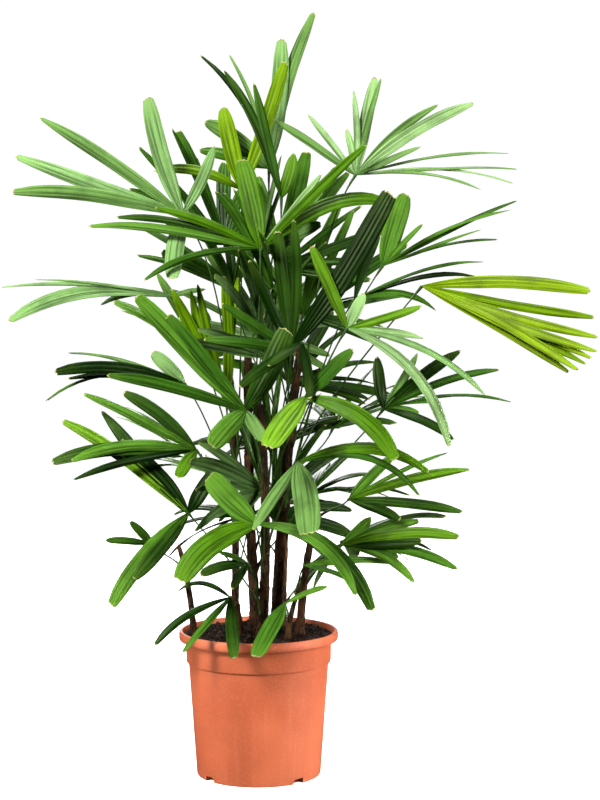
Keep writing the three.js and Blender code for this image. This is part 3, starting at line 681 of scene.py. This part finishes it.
grow("top_right", "stem_right", 500, (145, 0, 900), (0, 10, 60), "pale",
     (133, 150, 13, 0.2), (115, 120, 10, 0.15), (90, 75, 11, 0.1), (81, 135, 10, 0.05),
     (70, 165, 20, 0.05), (66, 160, 9, 0.05), (34, 165, 13, 0.2), (24, 205, 21, 0.25),
     (13, 105, 12, 0.3), (2, 230, 5, 0.3), (-4, 240, 5, 0.35), (-8, 235, 5, 0.4),
     (-17, 195, 5, 0.4))
grow("upper_right", "stem_right", 470, (185, -20, 765), (0, 10, 60), "mid",
     (63, 120, 31, 0), (19, 220, 8, 0.3), (15, 205, 6, 0.3), (12, 155, 6, 0.3), (9, 175, 5, 0.35),
     (41, 90, 9, 0.2))
grow("right_young", "stem_right", 430, (240, -70, 735), (-4, 0, 70), "young",
     (-4, 245, 20, 0.1), (-13, 255, 14, 0.06), (-20, 270, 15, 0.06), (-25, 280, 14, 0.06),
     (-27, 275, 14, 0.05), (-29, 270, 14, 0.05), (-34, 275, 14, 0.05), (-34, 255, 13, 0.05))
grow("mid_tall", "stem_right", 400, (50, -110, 645), (90, 72, 0), "dark",
     (85, 130, 16, 0.3), (56, 120, 15, 0.2), (26, 140, 15, 0.1), (7, 170, 21, 0), (-1, 185, 16, 0),
     (-32, 195, 20, 0.1), (-32, 265, 32, 0.1), shades="mid mid dark dark dark dark dark")
grow("mid_right", "stem_right", 420, (130, -130, 675), (10, 10, 60), "pale",
     (93, 130, 18, 0.05), (-29, 225, 11, 0.75), (-43, 235, 16, 1.6), (-11, 110, 12, 0.5),
     (54, 60, 18, 0.1), (4, 110, 15, 0.1), shades="fresh pale pale pale pale fresh")
grow("right_edge", "stem_back", 430, (145, 40, 715), (5, 8, 45), "mid",
     (16, 210, 6, 0.6), (21, 205, 9, 0.8), (10, 135, 17, 1.2), (61, 120, 14, 0.2),
     shades="mid dark mid dark")
grow("left_mid", "stem_centre", 340, (-110, -10, 590), (180, 5, -55), "mid",
     (-21, 185, 7, 0.5), (-2, 195, 21, 0.4), (-3, 175, 14, 0.35), (-6, 215, 5, 0.9),
     (-42, 70, 22, 0.2), shades="pale dark dark mid pale")
grow("left_low_mid", "stem_front", 310, (-90, -60, 495), (180, 5, -55), "mid",
     (-1, 215, 26, 0.6), (4, 185, 19, 0.5), (15, 190, 13, 0.5), (-23, 185, 16, 0.3),
     (-37, 140, 20, 0.25), (67, 60, 21, 0.2), shades="dark mid dark mid dark fresh")
grow("young_upright", "stem_centre", 350, (-45, -60, 565), (90, 74, 0), "young",
     (26, 185, 18, 0.05), (18, 175, 16, 0.02), (10, 180, 14, 0.02), (1, 185, 17, 0),
     (-5, 185, 15, 0))
grow("right_mid", "stem_right", 360, (185, -60, 555), (0, 5, 55), "mid",
     (91, 80, 18, 0.1), (57, 105, 14, 0.2), (35, 145, 19, 0.2), (17, 180, 13, 0.4),
     (7, 190, 6, 0.5), (-18, 120, 14, 0.9), (-9, 55, 14, 0.4),
     shades="dark pale dark mid mid dark mid")
grow("low_left_dark", "stem_front", 270, (-100, -90, 405), (182, 0, -62), "dark",
     (-43, 235, 18, 0.35), (-54, 205, 20, 0.25), (-49, 150, 27, 0.2), (50, 180, 24, 0.25),
     (51, 130, 22, 0.25), (-119, 75, 22, 0.2), shades="fresh dark dark mid dark dark")
grow("right_low", "stem_right_low", 385, (135, -40, 420), (0, 4, 55), "dark",
     (-7, 170, 17, 0.35), (13, 185, 16, 0.25), (29, 165, 7, 0.4), (45, 100, 18, 0.15),
     (-21, 85, 16, 0.5), shades="mid fresh mid mid dark")
grow("right_lowest", "stem_right_low", 310, (125, -60, 355), (0, 4, 55), "mid",
     (-9, 175, 17, 0.5), (6, 175, 18, 0.4), (19, 120, 16, 0.3), (-4, 120, 22, 0.2),
     (-14, 125, 15, 1.1), (42, 60, 18, 0.1), shades="mid fresh mid dark mid mid")
grow("foot_right", "shoot", 270, (70, -100, 330), (-30, -20, 10), "mid",
     (56, 145, 24, 0.5), (77, 90, 14, 0.3), (20, 95, 18, 0.9))
grow("foot_inner", "stem_front", 262, (-15, -75, 330), (190, -5, -30), "dark",
     (8, 75, 22, 0.5), (-28, 55, 14, 0.4), (59, 65, 14, 0.4))
grow("left_small", "stem_left_low", 300, (-165, 60, 340), (180, 10, -50), "dark",
     (7, 75, 12, 0.4), (-36, 50, 16, 0.15), shades="mid")


def tier(
    name, count, stems, first_turn, turn, sweep, height, reach, centre, start, rise, roll,
    length, width, droop, fan, tones,
):
    """Fronds made by rule: each is turned on from the last and stands higher."""
    for i in range(count):
        share = i / (count - 1)
        turned_to = sweep[0] + (first_turn + i * turn) % (sweep[1] - sweep[0])
        way = radians(turned_to)
        out = between(*reach, share) * between(*TIER_REACH, chance(i, 3))
        x, y = centre[0] + out * cos(way), centre[1] + out * sin(way)
        rolled = roll + between(-TIER_ROLL, TIER_ROLL, chance(i, 5))
        long = between(*length, chance(i, 9))
        leaflets = [
            (
                angle + between(-TIER_SWING, TIER_SWING, chance(i, k + 11)),
                long * between(1, TIER_SHORTEST, 1 - cos(radians(angle))),
                width * between(*TIER_WIDTHS, chance(i, k + 23)),
                between(*droop, share),
            )
            for k, angle in enumerate(fan)
        ]
        # A dark frond high in the clump takes the mid tone: painted light where the top of the
        # clump catches the lamps.
        tone = tones[i % len(tones)]
        grow(
            f"{name}_{i + 1:02d}", stems[i % len(stems)], between(*start, share),
            (x, y, between(*height, share)), (turned_to, between(*rise, share), rolled), tone,
            *leaflets, shades="mid" if tone == "dark" and share > TIER_LIT_FROM else tone,
            toss=TIER_TOSS, finer=True,
        )


# The heart of the clump, and its back. Their dark fronds are partly painted shade in the depth
# of the clump.
tier(
    "inner", count=9, stems=("stem_centre", "stem_back"), first_turn=74, turn=184,
    sweep=(0, 360), height=(380, 780), reach=(30, 40), centre=(14, 10), start=(300, 540),
    rise=(40, 70), roll=85, length=(160, 185), width=24, droop=(0.5, 0.3),
    fan=(-88, -50, -20, 10, 42, 80), tones=("dark", "mid", "mid"),
)
tier(
    "back", count=14, stems=("stem_back", "stem_behind", "stem_centre", "stem_back"),
    first_turn=0, turn=59, sweep=(42, 138), height=(330, 800), reach=(175, 95), centre=(8, 30),
    start=(235, 560), rise=(-2, 58), roll=0, length=(175, 215), width=25, droop=(0.75, 0.25),
    fan=(-94, -56, -26, 4, 36, 76), tones=("mid", "dark", "mid", "pale", "dark", "mid"),
)


def fan_frame(aim):
    """The ways of a fan: out along its middle, its upper face, and across it."""
    turn, rise, roll = (radians(angle) for angle in aim)
    out = np.array((cos(rise) * cos(turn), cos(rise) * sin(turn), sin(rise)))
    level = unit(UP - out * (UP @ out))
    face = level * cos(roll) + np.cross(out, level) * sin(roll)
    return out, face, np.cross(face, out)


def stalk_corners(frond, climb, turn, bow):
    """The four points that draw the stalk's curve, from the cane's middle to the knuckle."""
    cane = CANES[frond.stem]
    low = SOIL_LEVEL + CANE_GAP
    t = (frond.start + climb - low) / (cane.top[2] - low)
    start = cane_line(cane, min(t, STALK_HIGHEST))
    hub = frond.hub
    away = unit(np.array((hub[0] - start[0], hub[1] - start[1], 0.0)))
    c, s = cos(radians(turn)), sin(radians(turn))
    away = np.array((c * away[0] - s * away[1], s * away[0] + c * away[1], 0.0))
    span = np.linalg.norm(hub - start)
    first = start + UP * (span * 0.3) + away * (cane.radius + 10 + span * 0.05)
    out = fan_frame(frond.aim)[0]
    last = hub - out * (span * 0.16) - UP * (span * 0.2) + np.cross(away, UP) * bow
    return start, first, last, hub


def on_curve(corners, t):
    a, b, c, d = corners
    t = np.asarray(t, float)[:, None]
    s = 1 - t
    return s**3 * a + 3 * s * s * t * b + 3 * s * t * t * c + t**3 * d


# Round things are kept as balls along their middle line: centre, radius and owner.
balls = SimpleNamespace(at=np.zeros((0, 3)), radius=np.zeros(0), owner=np.zeros(0, object))


def add_balls(points, radii, owner):
    balls.at = np.vstack([balls.at, points])
    balls.radius = np.concatenate([balls.radius, radii])
    balls.owner = np.concatenate([balls.owner, np.full(len(points), owner, object)])


def clear_of_balls(points, owner, gap, near=True):
    """Whether the points keep the gap from all near balls but their owner's."""
    others = (balls.owner != owner) & near
    apart = points[:, None] - balls.at[others]
    distance = np.sqrt((apart * apart).sum(-1))
    return bool((distance > balls.radius[others] + gap).all())


for name, cane in CANES.items():
    t = np.arange(61) / 60
    add_balls(cane_line(cane, t), cane_radius(cane, t), name)


def place_stalk(frond):
    """Draws the stalk the first way that keeps clear. Only its foot may pass close by its cane."""
    for bow, climb, turn in product(STALK_BOWS, STALK_CLIMBS, STALK_TURNS):
        frond.stalk = stalk_corners(frond, climb, turn, bow)
        points = on_curve(frond.stalk, np.arange(31) / 30)
        beyond_foot = points[STALK_FREE_FROM:]
        if clear_of_balls(points, frond.stem, STALK_CLEAR) and (
            clear_of_balls(beyond_foot, "", STALK_CLEAR)
        ):
            t = np.arange(41) / 40
            thick = np.where(t == 1, KNUCKLE, STALK_RADIUS)
            add_balls(on_curve(frond.stalk, t), thick, frond.name)
            return True
    return False


fronds = [frond for frond in fronds if place_stalk(frond)]

stalk_green = Finish("stalk_green")
grain = stalk_green.noise(60, 3)
smooth_green = stalk_green.closed({
    "Base Color": stalk_green.coated(STALK_DEEP, (grain.clamped(0.35, 0.65), STALK_LIGHT)),
    "Roughness": 0.42,
    "Normal": stalk_green.bumped(grain, 0.0003, 0.3),
    "Specular IOR Level": 0.2,
})
stalk_points, stalk_faces, foot_faces, stalk_count = [], [], [], 0
t = np.linspace(0, 1, STALK_RINGS + 1)
for frond in fronds:
    line = on_curve(frond.stalk, t)
    clasp = np.clip(1 - np.linalg.norm(line - line[0], axis=1) / CLASP_LONG, 0, 1)
    swell = np.exp(-((t - 1) / KNUCKLE_LONG) ** 2)
    radii = STALK_THICK - STALK_THINS * t + CLASP_PROUD * clasp**1.4 + KNUCKLE_PROUD * swell
    along = unit(np.gradient(line, axis=0))
    side = unit(np.cross(along, ASKEW))
    radii = np.tile(radii[:, None], STALK_SIDES)
    points, faces = tube(line, side[:, None], np.cross(along, side)[:, None], radii, line[-1])
    stalk_points.append(points)
    for face in faces:
        stalk_faces.append([corner + stalk_count for corner in face])
        foot_faces.append(clasp[face[0] // STALK_SIDES] > CLASP_FIBROUS)
    stalk_count += len(points)
stalks = made_from("stalks", np.vstack(stalk_points), stalk_faces)
stalks.data.materials.append(smooth_green)
stalks.data.materials.append(clad)
stalks.data.polygons.foreach_set("material_index", np.array(foot_faces, np.int32))
smoothed(stalks, 60)
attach(stalks, "root")
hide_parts(*["frond_" + frond.name for frond in fronds])

# -------- the leaflets
# Long leathery straps, pleated lengthways into a few ribs, deeply folded where they meet at
# the knuckle and cut off short and jagged, with a dry, cream to brown edge. They are satin
# green above and paler below, dark when old and yellow-green when new. Their tones are also
# painted light: paler, greener tones on leaflets that catch the lamps and dark ones on those
# in the shade of the heart.
LEAF_STEPS = 12
LEAF_CUP = 12
LEAF_ROOT, LEAF_WIDENS, LEAF_NARROWS = 0.08, 2.6, 0.62
CLEAR_ABOVE, CLEAR_BESIDE, CLEAR_ROUND = 7, 5, 6
RIM_KEEP_OUT, RIM_KEEP_OUT_HIGH = 126, 222
SHORTS = (1, 0.86, 0.72, 0.58)
LIFTS = (0, 6, -6, 12, -12, 20)
SWINGS = (0, 4, -4, 8, -8, 12, -12)
FINER_OVER, FINER_LENGTH, FINER_ORDER = 22, 0.92, 40
FINER_PLACES, FINER_WIDTHS = (0.35, 0.65), (0.5, 0.85)
STRAP_STATIONS = (0, 0.03, 0.07, 0.12, 0.18, 0.26, 0.35, 0.45, 0.55, 0.65, 0.74, 0.82, 0.89)
RIB_EVERY = 6.5
DRY_TIP = 2.2
LEAF_THICK = 0.55
TWIST, SIDE_BOW, EDGE_WAVE = 26, 0.035, 0.0025
FOLDS, FOLD_OPENS = (58, 15), 0.4
BENDS_OVER = (0.05, 0.30)
BLUNTS, BROAD_BLUNT = (0.14, 0.42), 0.36
BROAD_FROM, BROAD_TO = 15, 32
FACE, OTHER_FACE, BACK, DRY, BROWN_DRY = range(5)
TURNED_SHARE, BROWN_SHARE = 0.5, 0.16
VEINS_LONG, PLEAT_SHADE_LONG = (0.62, 0.010, 1), (0.26, 0.005, 1)
LIGHTER, DEEPER, RIPE_SHEEN_LIGHTER = 1.9, 0.45, 1.45
RIPE_TINT, RIPE_FROM, RIPE_TO = 0.08, 1, 55
# The three shades of a tone's upper face, and its underside. Besides the leaves' own colour,
# the tones hold painted light: pale and fresh stand partly for leaflets in the light, and dark
# partly for deep shade.
TONES = {
    "dark": (
        (0.004, 0.017, 0.001), (0.008, 0.029, 0.002), (0.016, 0.050, 0.003), (0.022, 0.055, 0.011),
    ),
    "mid": (
        (0.024, 0.078, 0.005), (0.039, 0.115, 0.008), (0.061, 0.160, 0.012), (0.078, 0.155, 0.040),
    ),
    "fresh": (
        (0.050, 0.135, 0.003), (0.076, 0.180, 0.006), (0.108, 0.235, 0.010), (0.115, 0.215, 0.036),
    ),
    "pale": (
        (0.098, 0.200, 0.045), (0.150, 0.280, 0.085), (0.200, 0.335, 0.120), (0.230, 0.350, 0.160),
    ),
    "young": (
        (0.075, 0.160, 0.001), (0.115, 0.215, 0.001), (0.165, 0.270, 0.004), (0.180, 0.290, 0.020),
    ),
}
DRY_CREAM = (0.42, 0.40, 0.15, 1)
DRY_BROWN = (0.17, 0.085, 0.035, 1)
TIP_YELLOW = (0.20, 0.30, 0.03, 1)


def leaflet_path(frond, one, order, short, lift, swing):
    """A leaflet's middle line from the knuckle to its tip, sagging as it goes."""
    out, face, across = fan_frame(frond.aim)
    angle, length, width, droop = one
    length *= short
    turn = radians(angle + swing)
    tilt = between(-frond.toss, frond.toss, chance(order + 3, frond.seed))
    cup = radians(LEAF_CUP + tilt + lift)
    flat = out * cos(turn) + across * sin(turn)
    heading = flat * cos(cup) + face * sin(cup)
    above = face * cos(cup) - flat * sin(cup)
    point = frond.hub
    t = np.arange(LEAF_STEPS + 1) / LEAF_STEPS
    rows = []
    for sag in droop * (0.3 + 1.4 * (t + 0.5 / LEAF_STEPS)) / LEAF_STEPS:
        rows.append((point, np.cross(heading, above), above, heading))
        heading = unit(heading - UP * sag)
        above = unit(above - heading * (above @ heading))
        point = point + heading * (length / LEAF_STEPS)
    points, sides, lifts, ways = np.array(rows).swapaxes(0, 1)
    tip = np.clip((t - 0.7) / 0.3, 0, 1)
    halves = width / 2 * np.minimum(1, LEAF_ROOT + LEAF_WIDENS * t)
    halves *= 1 - LEAF_NARROWS * tip * tip
    spread = np.array((-1, -0.5, 0, 0.5, 1))
    spots = points[1:, None] + sides[1:, None] * (spread * halves[1:, None])[..., None]
    return SimpleNamespace(
        points=points, sides=sides, lifts=lifts, ways=ways, halves=halves, length=length,
        width=width, spots=spots.reshape(-1, 3), owner=frond.name,
        seed=frond.seed * 17 + order, shade=frond.shades[order % len(frond.shades)],
    )


# Leaflets already placed are kept with the box round each.
blades = SimpleNamespace(low=np.zeros((0, 3)), high=np.zeros((0, 3)), leaves=[])


def near_a_blade(spots, leaf):
    """Whether a spot comes near one of the flat spans of a leaflet."""
    starts, ends = leaf.points[:-1], leaf.points[1:]
    steps = np.sqrt(((ends - starts) ** 2).sum(-1))
    apart = spots[:, None] - starts
    along = (apart * (ends - starts) / steps[:, None]).sum(-1)
    beside = np.abs((apart * leaf.sides[:-1]).sum(-1))
    above = np.abs((apart * leaf.lifts[:-1]).sum(-1))
    half = np.maximum(leaf.halves[:-1], leaf.halves[1:]) + CLEAR_BESIDE
    inside = (along > -CLEAR_BESIDE) & (along < steps + CLEAR_BESIDE)
    return bool((inside & (beside < half) & (above < CLEAR_ABOVE)).any())


def leaflet_clear(leaf, near):
    spots = leaf.spots
    over_pot = np.hypot(spots[:, 0], spots[:, 1]) < RIM_KEEP_OUT
    if (over_pot & (spots[:, 2] < RIM_KEEP_OUT_HIGH)).any():
        return False
    if not clear_of_balls(spots, leaf.owner, CLEAR_ROUND, near):
        return False
    margin = CLEAR_ABOVE + CLEAR_BESIDE
    low, high = spots.min(0) - margin, spots.max(0) + margin
    meets = (blades.low <= high).all(1) & (blades.high >= low).all(1)
    others = [blades.leaves[i] for i in np.flatnonzero(meets)]
    return not any(other.owner != leaf.owner and near_a_blade(spots, other) for other in others)


def place_leaflet(frond, one, order):
    """Adds a leaflet the first way that keeps clear, or leaves it out."""
    near = np.sqrt(((balls.at - frond.hub) ** 2).sum(-1)) < one[1] + one[2]
    for short, lift, swing in product(SHORTS, LIFTS, SWINGS):
        leaf = leaflet_path(frond, one, order, short, lift, swing)
        if leaflet_clear(leaf, near):
            blades.low = np.vstack([blades.low, leaf.spots.min(0)])
            blades.high = np.vstack([blades.high, leaf.spots.max(0)])
            blades.leaves.append(leaf)
            frond.leaves.append(leaf)
            return


for frond in fronds:
    for order, one in enumerate(frond.fan):
        place_leaflet(frond, one, order)

# Narrower leaflets fill the wide gaps in the heart and at the back, where nothing is in the way.
for frond in fronds:
    fan = sorted(frond.fan) if frond.finer else []
    for order, (one, other) in enumerate(pairwise(fan)):
        if other[0] - one[0] > FINER_OVER:
            share = between(*FINER_PLACES, chance(frond.seed, order + 31))
            slim = between(*FINER_WIDTHS, chance(order, frond.seed + 53))
            angle = between(one[0], other[0], share)
            new = (angle, one[1] * FINER_LENGTH, one[2] * slim, one[3])
            place_leaflet(frond, new, FINER_ORDER + order)


def strap_width(t, blunt):
    """How wide a strap is along its length, as a share of its widest."""
    root = np.clip(t / 0.42, 0, 1)
    tip = np.clip((t - 0.60) / 0.40, 0, 1)
    return (0.16 + 0.84 * (1 - (1 - root) ** 2)) * (1 - (1 - blunt) * tip ** (1.7 + 2.6 * blunt))


def strap(leaf):
    """One pleated leaflet: its points in rows, upper face then underside, its faces, what
    each face is of, and where each point lies across the strap and from its tip."""
    seed, length, width = leaf.seed, leaf.length, leaf.width
    ribs = int(np.clip(round(width / RIB_EVERY), 2, 6))
    t = np.array(STRAP_STATIONS + (1 - DRY_TIP / length, 1.0))
    rows, columns = len(t), 2 * ribs + 1
    # Hermite curves through the steps of the middle line.
    place_in = np.clip(t * LEAF_STEPS, 0, LEAF_STEPS - 1e-9)
    step = place_in.astype(int)
    f = (place_in - step)[:, None]
    run = length / LEAF_STEPS
    p, w = leaf.points, leaf.ways
    line = (
        (2 * f**3 - 3 * f**2 + 1) * p[step]
        + (f**3 - 2 * f**2 + f) * w[step] * run
        + (3 * f**2 - 2 * f**3) * p[step + 1]
        + (f**3 - f**2) * w[step + 1] * run
    )
    lift = unit(between(leaf.lifts[step], leaf.lifts[step + 1], f))
    way = unit(between(w[step], w[step + 1], f))
    side = np.cross(way, lift)
    twist = np.radians(between(-TWIST, TWIST, chance(seed, 5))) * t[:, None] ** 1.5
    side, lift = (
        side * np.cos(twist) + lift * np.sin(twist), lift * np.cos(twist) - side * np.sin(twist)
    )
    broad = np.clip((width - BROAD_FROM) / (BROAD_TO - BROAD_FROM), 0, 1)
    blunt = between(*BLUNTS, chance(seed, 2)) + BROAD_BLUNT * broad
    half = width / 2 * strap_width(t, blunt)[:, None]
    x = np.linspace(-1, 1, columns)
    fold = np.radians(between(*FOLDS, np.clip(t[:, None] / FOLD_OPENS, 0, 1) ** 0.7))
    zigzag = np.where(np.arange(columns) % 2, 0.5, -0.5)
    bend_over = between(*BENDS_OVER, chance(seed, 3)) * np.clip(t * 3, 0, 1)[:, None]
    high = zigzag * np.tan(fold) * 2 * half / (columns - 1) - bend_over * half * x**2
    # A slight bow to one side, a wave along the edges, and a jagged end.
    bow = between(-SIDE_BOW, SIDE_BOW, chance(seed, 13)) * length * np.sin(pi * t)
    line = line + side * bow[:, None]
    wave = EDGE_WAVE * length * np.sin(t * between(7, 15, chance(seed, 8)) + seed)
    high += (wave * np.clip(t * 2, 0, 1))[:, None] * x
    push = np.zeros((rows, columns))
    teeth = np.array([chance(seed, 60 + c) for c in range(columns)])
    push[-1] = between(-DRY_TIP * 0.7, DRY_TIP * 0.6, teeth) - 2.5 * x**2
    push[-2] = push[-1] * 0.55
    points = (
        line[:, None]
        + side[:, None] * (x * half)[..., None]
        + lift[:, None] * high[..., None]
        + way[:, None] * push[..., None]
    )
    points = np.concatenate([points, points - lift[:, None] * LEAF_THICK]).reshape(-1, 3)
    grid = np.arange(rows * columns).reshape(rows, columns)
    under = grid + grid.size
    top = joined(grid[:-1], grid[1:])
    faces = np.vstack([
        top, top[:, ::-1] + grid.size,
        joined(grid[:, 0], under[:, 0]), joined(under[:, -1], grid[:, -1]),
        joined(under[0], grid[0]), joined(grid[-1], under[-1]),
    ])
    dry = np.arange(rows - 1) == rows - 2
    dry_across = np.repeat(dry, columns - 1)
    kinds = np.concatenate([
        np.where(dry_across, DRY, FACE), np.where(dry_across, DRY, BACK),
        np.where(np.tile(dry, 2), DRY, FACE), np.repeat((FACE, DRY), columns - 1),
    ])
    chart = np.stack([np.tile(x * width / 2, rows), np.repeat((1 - t) * length, columns)], -1)
    return points, faces, kinds, np.tile(chart, (2, 1))


def scaled(colour, by, tint=(0, 0, 0)):
    return (*(c * by + t for c, t in zip(colour, tint)), 1)


def leaf_finish(name, base, rough, vein):
    """Leaf skin: fine veins that run along the strap, light and dark bands that are painted light
    and shade of the pleats, cloudy shades, a lighter tip that is partly yellowing and partly
    painted sheen, and a satin sheen.
    """
    skin = Finish(name)
    chart = skin.node("ShaderNodeUVMap", {"uv_map": "strap"}).outputs[0]
    veins = skin.noise(1, 4, skin.stretched(chart, VEINS_LONG))
    # Light and dark bands a few millimetres apart along the strap: painted light and shade of the
    # pleats.
    pleat_shade_bands = skin.noise(1, 2, skin.stretched(chart, PLEAT_SHADE_LONG))
    cloudy = skin.noise(26, 3)
    # Lighter and yellower towards the tip in cloudy patches: partly yellowing with age, partly a
    # painted sheen.
    at_tip = 1 - skin.part_of(chart, "Y").clamped(RIPE_FROM, RIPE_TO)
    light, deep = scaled(base, LIGHTER), scaled(base, DEEPER)
    ripe_and_sheen = scaled(base, RIPE_SHEEN_LIGHTER, scaled(TIP_YELLOW, RIPE_TINT))
    return skin.closed({
        "Base Color": skin.coated(
            (*base, 1),
            (veins.clamped(0.38, 0.66) * vein, light),
            ((1 - pleat_shade_bands.clamped(0.36, 0.48)) * 0.55, light),
            (pleat_shade_bands.clamped(0.5, 0.6) * 0.8, deep),
            (cloudy.clamped(0.42, 0.7) * 0.5, deep),
            (at_tip * cloudy.clamped(0.3, 0.55), ripe_and_sheen),
        ),
        "Roughness": rough + cloudy * 0.14,
        "Normal": skin.bumped(veins + pleat_shade_bands, 0.0008, 0.6),
        "Specular IOR Level": 0.1,
        "Specular Tint": (0.8, 1, 0.55, 1),
    })


def dry_finish(name, other):
    dry = Finish(name)
    colour = dry.coated(DRY_CREAM, (dry.noise(150, 3).clamped(0.4, 0.64), other))
    return dry.closed({"Base Color": colour, "Roughness": 0.85})


dry_tips = [dry_finish("dry_tip_cream", TIP_YELLOW), dry_finish("dry_tip_brown", DRY_BROWN)]
skins = {}
for tone, (*faces, back) in TONES.items():
    skins[tone] = [
        leaf_finish(f"leaf_{tone}_{i + 1}", shade, 0.30, 0.75) for i, shade in enumerate(faces)
    ]
    skins[tone].append(leaf_finish(f"leaf_{tone}_back", back, 0.52, 0.5))

for frond in fronds:
    points, faces, kinds, charts, count = [], [], [], [], 0
    used = sorted({leaf.shade for leaf in frond.leaves})
    for leaf in frond.leaves:
        leaf_points, leaf_faces, leaf_kinds, chart = strap(leaf)
        if chance(leaf.seed, 77) > TURNED_SHARE:
            leaf_kinds = np.where(leaf_kinds == FACE, OTHER_FACE, leaf_kinds)
        if chance(leaf.seed, 79) > 1 - BROWN_SHARE:
            leaf_kinds = np.where(leaf_kinds == DRY, BROWN_DRY, leaf_kinds)
        first, dry = 3 * used.index(leaf.shade), 3 * len(used)
        kinds.append(np.array((first, first + 1, first + 2, dry, dry + 1))[leaf_kinds])
        points.append(leaf_points)
        faces.append(leaf_faces + count)
        charts.append(chart)
        count += len(leaf_points)
    faces = np.vstack(faces)
    fan = made_from("fan_" + frond.name, np.vstack(points), faces.tolist())
    first = int(chance(frond.seed, 91) * 3) % 3
    for tone in used:
        for i in (first, (first + 1) % 3, 3):
            fan.data.materials.append(skins[tone][i])
    for skin in dry_tips:
        fan.data.materials.append(skin)
    fan.data.polygons.foreach_set("material_index", np.concatenate(kinds).astype(np.int32))
    layer = fan.data.uv_layers.new(name="strap")
    layer.data.foreach_set("uv", np.vstack(charts)[faces.ravel()].ravel())
    smoothed(fan, 17)
    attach(fan, "root")
    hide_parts("frond_" + frond.name)
